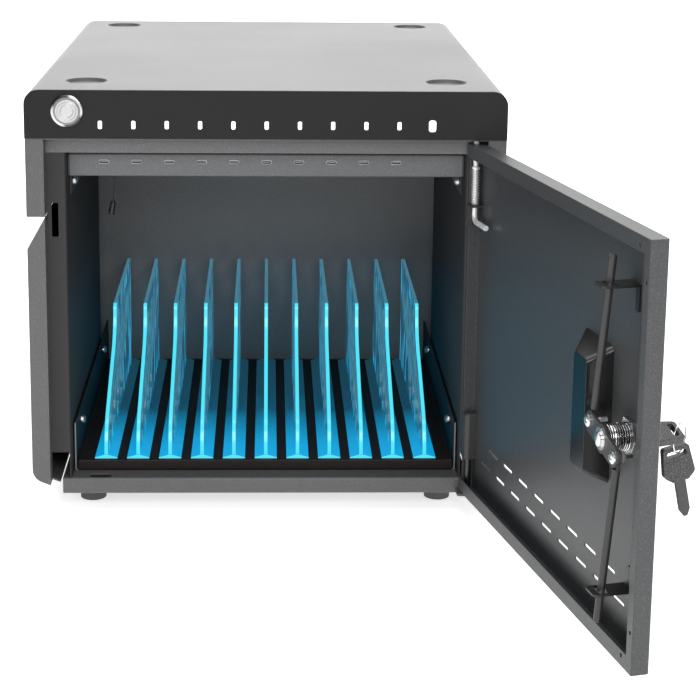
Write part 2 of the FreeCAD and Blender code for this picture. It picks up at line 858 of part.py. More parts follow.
def fan_frame():
    back = shell_depth
    front = back - fan_thickness
    z = foot_height + fan_height
    frame = prism(rounded(fan_x, z, fan_size, fan_size, 5), "xz", front, back)
    frame = frame.cut(bar(fan_bore, fan_point(front - 1), fan_point(back + 1)))
    motor = bar(fan_hub, fan_point(back - 5), fan_point(back))
    arms = []
    for turn in (45, 135, 225, 315):
        arm = box((fan_x, fan_x + fan_bore + 2), (back - 4, back), (z - 2, z + 2))
        arms.append(arm.rotated(fan_point(0), Vector(0, 1, 0), turn))
    shaft = bar(fan_shaft_radius, fan_point(front + 4), fan_point(back - 5))
    return fused(frame, motor, shaft, *arms)


def fan_rotor():
    back = shell_depth
    front = back - fan_thickness + 2
    rear = back - 5.6
    hub = bar(fan_hub, fan_point(front), fan_point(rear))
    z = foot_height + fan_height
    rotor = hub
    for i in range(fan_blades):
        wires = []
        for radius, chord, pitch in ((fan_hub - 1, 11.0, 45.0), (fan_bore - fan_tip_gap, 16.0, 28.0)):
            lean = math.radians(pitch)
            along = Vector(chord / 2 * math.cos(lean), chord / 2 * math.sin(lean), 0)
            thick = Vector(-math.sin(lean), math.cos(lean), 0) * 0.7
            centre = Vector(fan_x, (front + rear) / 2, z + radius)
            signs = ((-1, -1), (1, -1), (1, 1), (-1, 1), (-1, -1))
            wires.append(Part.makePolygon([centre + along * a + thick * b for a, b in signs]))
        blade = Part.makeLoft(wires, True, True)
        rotor = rotor.fuse(blade.rotated(fan_point(0), Vector(0, 1, 0), 360 * i / fan_blades))
    bore = bar(fan_shaft_radius + 0.05, fan_point(front + 2), fan_point(rear + 1))
    return rotor.cut(bore).removeSplitter()


# Temperature probe

def lead_points():
    start = Vector(lead_x, lead_y, charger_board_z)
    return [start + Vector(*step) for step in lead_steps]


def sensor_lead():
    """Tube of straight runs joined by tangent arcs as large as the runs allow."""
    points = lead_points()
    edges, at, radii = [], points[0], []
    for before, corner, after in zip(points, points[1:], points[2:]):
        back, ahead = (before - corner), (after - corner)
        reach = 0.45 * min(back.Length, ahead.Length)
        back.normalize()
        ahead.normalize()
        half_angle = back.getAngle(ahead) / 2
        radius = reach * math.tan(half_angle)
        middle = corner + (back + ahead).normalize() * (radius / math.sin(half_angle) - radius)
        start, end = corner + back * reach, corner + ahead * reach
        edges.append(Part.LineSegment(at, start).toShape())
        edges.append(Part.Arc(start, middle, end).toShape())
        radii.append(radius)
        at = end
    edges.append(Part.LineSegment(at, points[-1]).toShape())
    path = Part.Wire(edges)
    ring = Part.Wire(Part.makeCircle(lead_radius, points[0], points[1] - points[0]))
    tube = path.makePipeShell([ring], True, False)
    expected = path.Length * math.pi * lead_radius ** 2
    print("sensor lead bend radii", [round(r, 1) for r in radii])
    print("sensor lead volume over section times length", round(tube.Volume / expected, 4))
    return tube


def sensor_probe():
    points = lead_points()
    along = (points[-1] - points[-2]).normalize()
    neck = bar(probe_radius * 0.6, points[-1], points[-1] + along * 3)
    body = bar(probe_radius, points[-1] + along * 2, points[-1] + along * probe_length)
    return fused(neck, body)


def lead_grommet():
    at = Vector(lead_x, lead_y, ceiling)
    down, up = Vector(0, 0, -grommet_flange), Vector(0, 0, sheet + grommet_flange)
    flange = bar(grommet_radius + 1.2, at + down, at)
    neck = bar(grommet_radius, at, at + up)
    return fused(flange, neck).cut(bar(lead_radius + lead_fit, at + down * 2, at + up * 2))


# Door, built closed and swung open

def door_point(u, n, z):
    """Point of the closed door: u from the hinge axis to the free edge, n outwards."""
    return Vector(hinge_x - u, hinge_y - n, z)


def door_box(u, n, z):
    """Box on the closed door between pairs of limits."""
    return box((hinge_x - u[1], hinge_x - u[0]), (hinge_y - n[1], hinge_y - n[0]), z)


def swung(shape):
    """A door piece at the angle at which the door stands open."""
    return shape.rotated(hinge_axis, Vector(0, 0, 1), door_angle)


def lock_point(n, along=0.0, rise=0.0):
    return door_point(lock_u + along, n, lock_z + rise)


def door_panel():
    x0, x1 = hinge_x - door_reach, hinge_x + door_hinge_edge
    y0, y1 = door_front, door_front + door_thickness
    r = door_edge_radius
    skin = [(x0, y0, r), (x1, y0, r), (x1, y1, door_swing_radius), (x0, y1, r / 2)]
    pan = prism(skin, "xy", door_bottom, door_top)
    inside_y, inside_z = (y0 + sheet, y1 - sheet), (door_bottom + sheet, door_top - sheet)
    pan = pan.cut(box((x0 + sheet, x1 - sheet), inside_y, inside_z))
    open_z = (door_bottom + lip_bottom, door_top - lip_top)
    pan = pan.cut(box((x0 + lip_free, x1 - sheet), (y0 + sheet, y1 + 1), open_z))
    pan = pan.cut(box((x1 - 2 * sheet, x1 + 1), (y1 - door_swing_radius, y1 + 1), open_z))
    vent_rows = ((vent_upper_start, vent_upper_rise), (vent_lower_start, vent_lower_rise))
    for first, height in vent_rows:
        for i in range(1 + int((door_reach - first - vent_end_margin) / vent_pitch)):
            u, z = first + i * vent_pitch, door_bottom + height
            slot = rounded(hinge_x - u, z, vent_length, vent_width, slot_end(vent_width))
            pan = pan.cut(prism(slot, "xz", y0 - 1, y0 + 2 * sheet))
    pan = pan.cut(bar(barrel_radius + barrel_fit, lock_point(skin_n + 1), lock_point(0)))
    pan = pan.cut(prism(cup_mouth(cup_fit), "xz", y0 - 1, y0 + 2 * sheet))
    middle = hinge_axis + Vector(0, 0, lock_z)
    pan = pan.cut(bar(bolt_radius + 0.3, middle, hinge_axis + Vector(0, 0, top)))
    pan = pan.cut(bar(pin_radius, hinge_axis, middle))
    side_u, end_u = door_reach - lip_free / 2, door_reach - return_hole_end
    for u, z in ((side_u, door_top - return_hole_side), (side_u, door_bottom + return_hole_side),
                 (end_u, door_top - return_hole_edge), (end_u, door_bottom + return_hole_edge)):
        pan = pan.cut(bar(return_hole_radius, door_point(u, 0, z), door_point(u, -skin_n - 1, z)))
    return pan


def cup_mouth(grow):
    """Outline of the pull cup where it passes through the door skin."""
    u = (cup_u_min + cup_u_max) / 2
    z = lock_z + (cup_above_lock - cup_below_lock) / 2
    wide, tall = cup_u_max - cup_u_min, cup_above_lock + cup_below_lock
    return rounded(hinge_x - u, z, wide + 2 * grow, tall + 2 * grow, 6.0)


def cup_form(inset, level, depth):
    """Tapered block from the door skin to the floor of the cup, drawn in by an inset."""
    low, high = lock_z - cup_below_lock + inset, lock_z + cup_above_lock - inset
    u0, u1 = cup_u_min + inset, cup_u_max - inset
    ends = []
    for share in (0.0, 1.0):
        n = level - share * depth
        a, b = u0 + share * cup_slope_hinge, u1 - share * cup_slope_free
        z0, z1 = low + share * cup_slope_end, high - share * cup_slope_end
        corners = rounded(hinge_x - (a + b) / 2, (z0 + z1) / 2, b - a, z1 - z0, 4)
        ends.append(outline(corners, "xz", hinge_y - n))
    return Part.makeLoft(ends, True, True)


def pull_cup():
    hollow = cup_form(cup_wall, inner_skin_n, cup_depth - cup_wall)
    cup = cup_form(0, inner_skin_n, cup_depth)
    neck = prism(cup_mouth(0), "xz", hinge_y - skin_n, hinge_y - inner_skin_n)
    rim = prism(cup_mouth(cup_rim), "xz", hinge_y - skin_n - cup_rim_thickness, hinge_y - skin_n)
    front = hinge_y - skin_n - cup_rim_thickness
    opening = prism(cup_mouth(-cup_wall), "xz", front - 1, hinge_y - inner_skin_n)
    return fused(cup, neck, rim).cut(opening).cut(hollow)


def hinge_bolt():
    low = bolt_handle_z
    turn = bolt_bend * (1 - math.sqrt(0.5))

    def at(u, z):
        return door_point(u, 0, z)

    tip = at(0, header_top + bolt_reach)
    bend = [at(0, low + bolt_bend), at(turn, low + turn), at(bolt_bend, low)]
    edges = [Part.LineSegment(tip, bend[0]).toShape(), Part.Arc(*bend).toShape(),
             Part.LineSegment(bend[2], at(bolt_handle, low)).toShape()]
    ring = Part.Wire(Part.makeCircle(bolt_radius, tip, Vector(0, 0, 1)))
    bolt = Part.Wire(edges).makePipeShell([ring], True, False)
    collar_low = at(0, collar_z)
    collar = bar(spring_radius + spring_wire / 2, collar_low, collar_low + Vector(0, 0, collar_thickness))
    return fused(bolt, collar)


def biarc(start, start_dir, end, end_dir):
    """Two arcs that meet smoothly and leave and arrive along the given directions."""
    chord = end - start
    total = start_dir + end_dir
    spread = 2 * (1 - start_dir.dot(end_dir))
    along = chord.dot(total)
    reach = (-along + math.sqrt(along ** 2 + spread * chord.dot(chord))) / spread
    joint = (start + end + (start_dir - end_dir) * reach) * 0.5
    return [tangent_arc(start, start_dir, joint, 1), tangent_arc(end, end_dir, joint, -1)]


def tangent_arc(at, direction, other, sense):
    """Arc between two points that is tangent to a direction at the first."""
    chord = other - at
    across = chord - direction * chord.dot(direction)
    across.normalize()
    radius = chord.dot(chord) / (2 * chord.dot(across))
    centre = at + across * radius
    middle = centre + ((at - centre) + (other - centre)).normalize() * radius
    ends = (at, middle, other) if sense > 0 else (other, middle, at)
    return Part.Arc(*ends).toShape()


def bolt_spring():
    low = bolt_ear_z + bolt_ear_thickness + spring_wire / 2 + spring_rest_gap
    high = collar_z - spring_wire / 2 - spring_rest_gap
    climb = (high - low) / spring_turns

    def place(turn):
        angle = 2 * math.pi * turn
        across = Vector(math.cos(angle), math.sin(angle), 0) * spring_radius
        return hinge_axis + across + Vector(0, 0, low + climb * turn)

    def heading(turn):
        angle = 2 * math.pi * turn
        rim = 2 * math.pi * spring_radius
        return Vector(-rim * math.sin(angle), rim * math.cos(angle), climb).normalize()

    edges = []
    for i in range(2 * spring_turns):
        edges += biarc(place(i / 2), heading(i / 2), place((i + 1) / 2), heading((i + 1) / 2))
    ring = Part.Wire(Part.makeCircle(spring_wire / 2, place(0), heading(0)))
    spring = Part.Wire(edges).makePipeShell([ring], True, False)
    samples = [place(i / 24) for i in range(24 * spring_turns + 1)]
    nearest = min((a - b).Length for i, a in enumerate(samples) for b in samples[i + 12:])
    print("hinge bolt spring: least gap between turns", round(nearest - spring_wire, 2))
    return spring


def bolt_guide():
    low = bolt_ear_z
    inner = -door_hinge_edge + sheet
    deep = inner_skin_n - seam
    high = low + bolt_ear_thickness
    ear = door_box((inner, bolt_radius + 4.5), (-deep, inner_skin_n), (low, high))
    leg = door_box((inner, inner + bolt_ear_thickness), (-deep, inner_skin_n), (low - guide_leg, high))
    hole = bar(bolt_radius + 0.25, hinge_axis, hinge_axis + Vector(0, 0, top))
    return fused(ear, leg).cut(hole)


def lower_hinge_pin():
    low = ear_top - ear_thickness - seam
    return bar(pin_radius, hinge_axis + Vector(0, 0, low), hinge_axis + Vector(0, 0, pin_top))


def lower_hinge_block():
    low = door_bottom + hinge_block_rise
    reach = pin_radius + hinge_block_wall
    x0, x1 = hinge_x - reach, hinge_x + door_hinge_edge - sheet
    y0, y1 = hinge_y - inner_skin_n, hinge_y + reach
    high = low + hinge_block_height
    knuckle = [(x0, y0), (x1, y0), (x1, y1, 1.0), (x0, y1, reach - 0.5)]
    block = prism(knuckle, "xy", low, high)
    brow = [e for e in block.Edges if abs(e.BoundBox.ZMin - high) < 0.01 and e.BoundBox.YMax > hinge_y]
    block = block.makeChamfer(1.2, brow)
    return block.cut(bar(pin_radius, hinge_axis, hinge_axis + Vector(0, 0, pin_top)))


def hinge_ear():
    reach = pin_radius + 4.0
    x0, x1 = hinge_x - reach - 3, hinge_x + reach
    y0, y1 = hinge_y - reach, frame_setback
    plan = [(x0, y1), (x0, y0, reach / 2), (x1, y0, reach / 2), (x1, y1)]
    ear = prism(plan, "xy", ear_top - ear_thickness, ear_top)
    leg = box((x0, base_half_width - seam), (y1 - ear_thickness, y1), (foot_height + sheet, ear_top))
    return fused(ear, leg).cut(bar(pin_radius + pin_fit, hinge_axis, hinge_axis + Vector(0, 0, door_bottom)))


# Lock, cam and rods

def lock_barrel():
    barrel = bar(barrel_radius, lock_point(-barrel_depth), lock_point(skin_n))
    flange = bar(barrel_flange_radius, lock_point(skin_n), lock_point(skin_n + barrel_flange))
    front = hinge_y - skin_n - barrel_flange
    rim = [e for e in flange.Edges if abs(e.CenterOfMass.y - front) < 0.01]
    flange = flange.makeFillet(barrel_flange * 0.5, rim)
    bore = bar(plug_radius + plug_fit, lock_point(-barrel_depth - 1), lock_point(skin_n + barrel_flange + 1))
    return fused(barrel, flange).cut(bore)


def lock_nut():
    nut = hexagon(lock_nut_flats, lock_point(inner_skin_n), Vector(0, 1, 0), lock_nut_thickness)
    return nut.cut(bar(barrel_radius, lock_point(skin_n), lock_point(-skin_n)))


def lock_plug():
    front = skin_n + barrel_flange - 0.4
    plug = bar(plug_radius, lock_point(cam_n), lock_point(front))
    tall = key_blade_width / 2 + key_slot_clearance
    wide = key_blade_thickness / 2 + key_slot_clearance
    deep = (key_tip_n, front + 1)
    slot = door_box((lock_u - wide, lock_u + wide), deep, (lock_z - tall, lock_z + tall))
    return plug.cut(slot.rotated(lock_point(0), Vector(0, 1, 0), 90 - cam_rest_angle))


def pivot_offset(which):
    """Place of a rod's pivot on the cam at rest: 1 for the upper rod, -1 for the lower."""
    angle = math.radians(180 - cam_rest_angle)
    return which * cam_arm * math.cos(angle), which * cam_arm * math.sin(angle)


def guide_u(which):
    """Distance from the hinge axis at which a rod passes its guide."""
    along, rise = pivot_offset(which)
    run = which * (guide_z[which] - lock_z - rise)
    return lock_u + along + which * run * math.tan(math.radians(rod_lean))


def lock_cam():
    front, back = lock_point(cam_n), lock_point(cam_n - cam_thickness)
    arm = rounded(front.x, lock_z, 2 * (cam_arm + cam_end), cam_width, cam_width * 0.4)
    plate = prism(arm, "xz", front.y, back.y).rotated(front, Vector(0, 1, 0), -cam_rest_angle)
    plate = fused(plate, bar(cam_head_radius + 2.5, front, back))
    through = Vector(0, cam_thickness, 0)
    for along, rise in (pivot_offset(1), pivot_offset(-1), (0, 0)):
        at = lock_point(cam_n, along, rise)
        plate = plate.cut(bar(screw_shank, at - through, at + through * 2))
    return plate


def cam_screws():
    back = cam_n - cam_thickness
    centre = bar(cam_head_radius, lock_point(back - 1.2), lock_point(back))
    head = hexagon(cam_head_radius * 1.35, lock_point(back - 1.2), Vector(0, 1, 0), cam_head - 1.2)
    shank = bar(screw_shank, lock_point(back), lock_point(cam_n))
    screws = [fused(centre, head, shank)]
    for which in (1, -1):
        along, rise = pivot_offset(which)
        seat = lock_point(back, along, rise)
        front = lock_point(back - pivot_head, along, rise)
        head = bar(pivot_head_radius, front, seat)
        rim = [e for e in head.Edges if abs(e.CenterOfMass.y - front.y) < 0.01]
        head = head.makeFillet(pivot_head * 0.45, rim)
        screws.append(fused(head, bar(screw_shank, seat, lock_point(-pivot_shank_end, along, rise))))
        nut_n = rod_n + rod_eye_thickness / 2 + rod_eye_gap + pivot_nut_thickness
        nut = hexagon(pivot_nut_flats, lock_point(nut_n, along, rise), Vector(0, 1, 0), pivot_nut_thickness)
        screws.append(nut.cut(bar(screw_shank, lock_point(0, along, rise), seat)))
    return Part.makeCompound(screws)


def locking_rod(which):
    along, rise = pivot_offset(which)
    pivot = lock_point(rod_n, along, rise)
    length = which * (rod_end_z[which] - pivot.z) / math.cos(math.radians(rod_lean))
    half_eye = Vector(0, rod_eye_thickness / 2, 0)
    eye = bar(rod_eye_radius, pivot - half_eye, pivot + half_eye)
    shoulder = rod_eye_radius * 1.8
    flat = (pivot.y - half_eye.y, pivot.y + half_eye.y)
    neck = box((pivot.x - rod_radius, pivot.x + rod_radius), flat, (pivot.z, pivot.z + shoulder + 2))
    shaft = bar(rod_radius, pivot + Vector(0, 0, shoulder), pivot + Vector(0, 0, length))
    point = [e for e in shaft.Edges if abs(e.BoundBox.ZMin - pivot.z - length) < 0.01]
    shaft = shaft.makeChamfer(rod_radius * 0.4, point)
    hole = bar(screw_shank + pivot_fit, pivot - half_eye * 2, pivot + half_eye * 2)
    rod = fused(eye, neck, shaft).cut(hole)
    turn = -rod_lean if which > 0 else 180 - rod_lean
    return rod.rotated(pivot, Vector(0, 1, 0), turn)


def rod_guides():
    guides = []
    for which in (1, -1):
        middle = guide_u(which)
        height = guide_z[which]
        edge = (middle - guide_half_width, middle + guide_half_width)
        ear_z = sorted((height, height - which * guide_thickness))
        leg_z = sorted((height, height - which * guide_leg))
        near, far = hinge_x - edge[1], hinge_x - edge[0]
        root, nose = hinge_y - inner_skin_n, hinge_y - guide_n
        plan = [(near, root), (far, root), (far, nose, guide_nose_radius), (near, nose, guide_nose_radius)]
        ear = prism(plan, "xy", *ear_z)
        leg_u = (edge[1] - guide_leg_width, edge[1])
        leg = door_box(leg_u, (inner_skin_n - guide_thickness, inner_skin_n), leg_z)
        wide, tall = guide_slot_half_width, rod_radius + guide_slot_clearance
        slot = door_box((middle - wide, middle + wide), (rod_n - tall, rod_n + tall), ear_z)
        guides.append(fused(ear, leg).cut(slot))
    return Part.makeCompound(guides)


# Keys

def key():
    """Key with the end of its bow at the origin, its blade towards Y and its flat across Z."""
    waist = key_blade_width / 2 + 2.0
    half = [(0, key_bow_end_width / 2, 2.5), (key_bow_length - 5, key_bow_width / 2, 4),
            (key_bow_length, waist, 2)]
    corners = half + [(y, -z, r) for y, z, r in half[::-1]]
    bow = prism(corners, "yz", -key_bow_thickness / 2, key_bow_thickness / 2)
    middle = key_eye_strip + key_eye_height / 2
    eye = rounded(middle, 0, key_eye_height, key_eye_width, slot_end(key_eye_height))
    bow = bow.cut(prism(eye, "yz", -key_bow_thickness, key_bow_thickness))
    tip = key_bow_length + key_bow_gap + key_blade_length
    side = [(key_bow_length - 3, key_blade_width / 2), (tip - key_blade_tip, key_blade_width / 2),
            (tip, key_blade_width / 6)]
    profile = side + [(y, -z) for y, z in side[::-1]]
    blade = prism(profile, "yz", -key_blade_thickness / 2, key_blade_thickness / 2)
    return fused(bow, blade)


def inserted_key():
    turned = key().rotated(Vector(0, 0, 0), Vector(0, 1, 0), 90 - cam_rest_angle)
    return turned.translated(lock_point(key_end_n))


def ring_centre():
    """Middle of the ring, which runs through the eye of the inserted key and round the end of its bow."""
    turn = math.radians(ring_turn)
    shift = Vector(math.sin(turn), -math.cos(turn), 0) * ring_shift
    return lock_point(key_end_n - key_eye_strip / 2, 0, -ring_drop) + shift


def key_ring():
    turn = math.radians(ring_turn)
    return Part.makeTorus(ring_radius, ring_wire, ring_centre(), Vector(math.cos(turn), math.sin(turn), 0))


def spare_key():
    hang = FreeCAD.Rotation(Vector(1, 0, 0), -90 - spare_key_tilt)
    rest = hang.multVec(Vector(0, key_eye_strip, -spare_key_offset))
    place = ring_centre() + Vector(0, 0, spare_key_lift - ring_radius)
    return key().rotated(Vector(0, 0, 0), hang.Axis, math.degrees(hang.Angle)).translated(place - rest)


# Fasteners

def pan_screw(at, axis, height):
    """Pan-head screw with its head's seat at a point, pointing along an axis."""
    head = bar(screw_head_radius, at - axis * height, at)
    rim = [e for e in head.Edges if (e.CenterOfMass - at + axis * height).Length < 0.01]
    head = head.makeFillet(screw_head_height * 0.6, rim)
    return fused(head, bar(screw_radius, at, at + axis * screw_length))


def bay_screw_seats():
    """Seats of the screws that fix the shelf and the tray to the inner walls."""
    shelf = bay_half_width - seam - sheet
    tray = bay_half_width - seam - tray_side_gap - sheet
    ear = ceiling - shelf_ear / 2
    wing = sill + tray_wing * 0.72
    return [(shelf, shelf_screw_y, ear), (tray, wing_screw_y, wing),
            (tray, bay_step_depth - wing_screw_margin, wing)]


def bay_screws():
    screws = []
    for x, y, z in bay_screw_seats():
        for side in (-1, 1):
            screws.append(pan_screw(Vector(side * x, y, z), Vector(side, 0, 0), bay_head_height))
    return Part.makeCompound(screws)


def back_screw_seats():
    """Seats of the screws in the rear flanges and in the fan's corners."""
    edge = (flange_x + half_width) / 2 - back_screw_inset
    low, high = foot_height + back_screw_low, top - back_screw_drop
    levels = (low, (low + high) / 2, high)
    flange = [(side * edge, body_depth, z) for side in (-1, 1) for z in levels]
    z = foot_height + fan_height
    reach = fan_hole_pitch / 2
    return flange, [(fan_x + dx, body_depth, z + dz) for dx in (-reach, reach) for dz in (-reach, reach)]


def back_screws():
    flange, fan = back_screw_seats()
    forward = Vector(0, -1, 0)
    return Part.makeCompound([pan_screw(Vector(*seat), forward, screw_head_height) for seat in flange + fan])


def drilled(shape, seats, axis):
    """A sheet or frame with clearance holes for screws at the given seats."""
    for seat in seats:
        at = Vector(*seat)
        shape = shape.cut(bar(screw_radius, at + axis * -1, at + axis * (screw_length + 1)))
    return shape


def wall_seats(side):
    return [(side * x, y, z) for x, y, z in bay_screw_seats()]


def build_parts():
    """Every piece of the cabinet by its node name."""
    into_wall = {side: Vector(side, 0, 0) for side in (-1, 1)}
    flange_seats, fan_seats = back_screw_seats()
    forward = Vector(0, -1, 0)
    rear_seats = {side: [s for s in flange_seats if s[0] * side > 0] for side in (-1, 1)}
    shelf, tray = port_shelf(), device_tray()
    for side in (-1, 1):
        shelf = drilled(shelf, wall_seats(side), into_wall[side])
        tray = drilled(tray, wall_seats(side), into_wall[side])
    parts = {
        "top_cover": drilled(top_cover(), flange_seats, forward),
        "left_side_panel": drilled(mirrored(side_panel()), rear_seats[-1], forward),
        "right_side_panel": drilled(side_panel(), rear_seats[1], forward),
        "base_pan": base_pan(),
        "back_panel": drilled(back_panel(), flange_seats + fan_seats, forward),
        "front_fascia": front_fascia(),
        "header_bar": header_bar(),
        "left_inner_wall": drilled(left_inner_wall(), wall_seats(-1), into_wall[-1]),
        "right_inner_wall": drilled(inner_wall(), wall_seats(1), into_wall[1]),
        "port_shelf": shelf,
        "rear_partition": rear_partition(),
        "device_tray": tray,
        "rubber_feet": rubber_feet(),
        "button_housing": button_housing(),
        "button_cap": button_cap(),
        "button_nut": button_nut(),
        "light_guides": light_guides(),
        "light_board": light_board(),
        "board_standoffs": board_standoffs(),
        "charger_board": charger_board(),
        "usb_receptacles": usb_receptacles(),
        "power_supply": power_supply(),
        "mains_inlet": mains_inlet(),
        "fan_frame": drilled(fan_frame(), fan_seats, forward),
        "fan_rotor": fan_rotor(),
        "sensor_lead": sensor_lead(),
        "sensor_probe": sensor_probe(),
        "lead_grommet": lead_grommet(),
        "hinge_ear": hinge_ear(),
        "bay_screws": bay_screws(),
        "back_screws": back_screws(),
    }
    for i in range(slot_count + 1):
        parts[f"divider_{i + 1:02d}"] = divider(i)
    door = {
        "door_panel": door_panel(),
        "hinge_bolt": hinge_bolt(),
        "bolt_spring": bolt_spring(),
        "bolt_guide": bolt_guide(),
        "lower_hinge_pin": lower_hinge_pin(),
        "lower_hinge_block": lower_hinge_block(),
        "pull_cup": pull_cup(),
        "lock_barrel": lock_barrel(),
        "lock_nut": lock_nut(),
        "lock_plug": lock_plug(),
        "lock_cam": lock_cam(),
        "cam_screws": cam_screws(),
        "upper_rod": locking_rod(1),
        "lower_rod": locking_rod(-1),
        "rod_guides": rod_guides(),
        "inserted_key": inserted_key(),
        "key_ring": key_ring(),
        "spare_key": spare_key(),
    }
    parts.update({name: swung(shape) for name, shape in door.items()})
    return parts


os.makedirs("parts", exist_ok=True)
for name, shape in build_parts().items():
    placed = shape.translated(Vector(0, -body_depth / 2, 0))
    placed.exportStep(f"parts/{name}.step")
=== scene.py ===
import bpy
import bmesh
import math
from mathutils import Euler, Matrix, Vector


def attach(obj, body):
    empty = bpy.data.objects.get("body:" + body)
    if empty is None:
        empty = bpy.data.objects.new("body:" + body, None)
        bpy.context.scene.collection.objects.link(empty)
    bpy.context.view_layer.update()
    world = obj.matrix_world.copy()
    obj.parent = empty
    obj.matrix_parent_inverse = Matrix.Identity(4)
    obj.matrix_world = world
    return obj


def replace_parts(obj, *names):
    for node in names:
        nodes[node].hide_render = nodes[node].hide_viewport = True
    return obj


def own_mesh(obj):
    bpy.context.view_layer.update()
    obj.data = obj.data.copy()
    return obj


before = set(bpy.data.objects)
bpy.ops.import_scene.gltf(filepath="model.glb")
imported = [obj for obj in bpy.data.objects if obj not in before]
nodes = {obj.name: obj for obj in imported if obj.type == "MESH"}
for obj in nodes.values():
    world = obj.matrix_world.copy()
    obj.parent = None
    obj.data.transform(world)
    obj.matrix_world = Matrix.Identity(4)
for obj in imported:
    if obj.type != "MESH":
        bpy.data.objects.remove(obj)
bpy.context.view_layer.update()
scene = bpy.context.scene


# The studio: one roll of white paper that lies on a light table under the cabinet and curves up far
# behind it, with a wide soft panel overhead, a soft box in front and a row of lamps for the back.
paper_front, paper_top, paper_half = -5.0, 4.0, 4.5
bend_start, bend_radius = 2.2, 1.2
bends = [math.radians(turn) for turn in range(6, 91, 6)]
fall = [(paper_front, 0.0), (bend_start, 0.0)]
fall += [(bend_start + bend_radius * math.sin(bend), bend_radius * (1 - math.cos(bend))) for bend in bends]
fall += [(bend_start + bend_radius, paper_top)]
paper_roll = bmesh.new()
strips = [[paper_roll.verts.new((x, y, z)) for x in (-paper_half, paper_half)] for y, z in fall]
for near, far in zip(strips, strips[1:]):
    paper_roll.faces.new((near[0], near[1], far[1], far[0])).smooth = True
paper_mesh = bpy.data.meshes.new("paper_roll")
paper_roll.to_mesh(paper_mesh)
paper_roll.free()
paper = bpy.data.objects.new("paper_roll", paper_mesh)
scene.collection.objects.link(paper)
paper_white = bpy.data.materials.new("paper_white")
paper_white.use_nodes = True
paper_face = paper_white.node_tree.nodes["Principled BSDF"]
paper_face.inputs["Base Color"].default_value = (0.92, 0.92, 0.92, 1)
paper_face.inputs["Roughness"].default_value = 0.9
paper_face.inputs["Specular IOR Level"].default_value = 0.1
paper_face.inputs["Emission Color"].default_value = (1.0, 1.0, 1.0, 1)
paper_face.inputs["Emission Strength"].default_value = 0.6
paper_mesh.materials.append(paper_white)

for name, place, target, size, watts in (
        ("front_box", (0.3, -2.6, 1.45), (0.0, -0.2, 0.2), (1.8, 1.2), 36),
        ("top_panel", (0.0, 0.0, 2.8), (0.0, 0.0, 0.0), (3.0, 3.0), 70),
        ("paper_lamps", (0.0, 1.7, 2.7), (0.0, 3.4, 0.7), (5.0, 0.5), 45)):
    lamp = bpy.data.lights.new(name, "AREA")
    lamp.shape = "RECTANGLE"
    lamp.size, lamp.size_y = size
    lamp.energy = watts
    holder = bpy.data.objects.new(name, lamp)
    holder.location = place
    holder.rotation_euler = (Vector(target) - Vector(place)).to_track_quat("-Z", "Y").to_euler()
    holder.visible_camera = False
    scene.collection.objects.link(holder)

room = bpy.data.worlds.new("studio_room")
room.use_nodes = True
room.node_tree.nodes["Background"].inputs["Color"].default_value = (1.0, 1.0, 1.0, 1)
room.node_tree.nodes["Background"].inputs["Strength"].default_value = 0.3
scene.world = room
scene.view_settings.view_transform = "Standard"

# The camera: it stands a little above the cabinet and looks down on it, a hair out of level. Its lens
# is shifted as far as the photograph's framing asks, in a frame of 700 by 700.
film_width, frame_pixels, focal_pixels = 36.0, 700, 1821.93
look_down, look_aside, roll = 11.88, 1.75, 0.55
camera_stand = (0.00087, -1.74148, 0.59814)
lens = bpy.data.cameras.new("product_lens")
lens.sensor_width = film_width
lens.lens = focal_pixels / frame_pixels * film_width
lens.shift_x, lens.shift_y = 0.04, -0.22
camera = bpy.data.objects.new("product_lens", lens)
tilt = Euler((math.radians(90 - look_down), 0, math.radians(-look_aside))).to_matrix()
tilt = tilt @ Matrix.Rotation(math.radians(roll), 3, "Z")
camera.matrix_world = Matrix.Translation(camera_stand) @ tilt.to_4x4()
scene.collection.objects.link(camera)
scene.camera = camera


# The base: a pan folded from steel sheet, whose edges turn down to rails, with the ear that carries
# the lower hinge. It is powder coated in dark grey, which leaves a fine grain and softened edges.
class Signal:
    """A node's output that takes part in sums, products and comparisons."""

    def __init__(self, board, socket):
        self.board, self.socket = board, socket

    def maths(self, operation, *values):
        return self.board.node("ShaderNodeMath", {"operation": operation}, dict(enumerate(values)))

    def __add__(self, other):
        return self.maths("ADD", self, other)

    def __radd__(self, other):
        return self.maths("ADD", other, self)

    def __sub__(self, other):
        return self.maths("SUBTRACT", self, other)

    def __rsub__(self, other):
        return self.maths("SUBTRACT", other, self)

    def __mul__(self, other):
        return self.maths("MULTIPLY", self, other)

    def __rmul__(self, other):
        return self.maths("MULTIPLY", other, self)

    def __truediv__(self, other):
        return self.maths("DIVIDE", self, other)

    def __rtruediv__(self, other):
        return self.maths("DIVIDE", other, self)

    def __pow__(self, other):
        return self.maths("POWER", self, other)

    def __rpow__(self, other):
        return self.maths("POWER", other, self)

    def __gt__(self, other):
        return self.maths("GREATER_THAN", self, other)

    def __lt__(self, other):
        return self.maths("LESS_THAN", self, other)

    def __abs__(self):
        return self.maths("ABSOLUTE", self)

    def rise(self, low, high, way="SMOOTHSTEP"):
        """0 below low, 1 above high and a smooth or even climb between."""
        sockets = {"Value": self, "From Min": low, "From Max": high}
        return self.board.node("ShaderNodeMapRange", {"interpolation_type": way}, sockets)

    def split(self):
        """The three parts of a vector."""
        parts = self.board.node("ShaderNodeSeparateXYZ", {}, {0: self}).socket.node.outputs
        return [Signal(self.board, part) for part in parts]

    def along(self, direction):
        """How far a vector reaches along a direction."""
        sockets = {0: self, 1: direction}
        return self.board.node("ShaderNodeVectorMath", {"operation": "DOT_PRODUCT"}, sockets, 1)


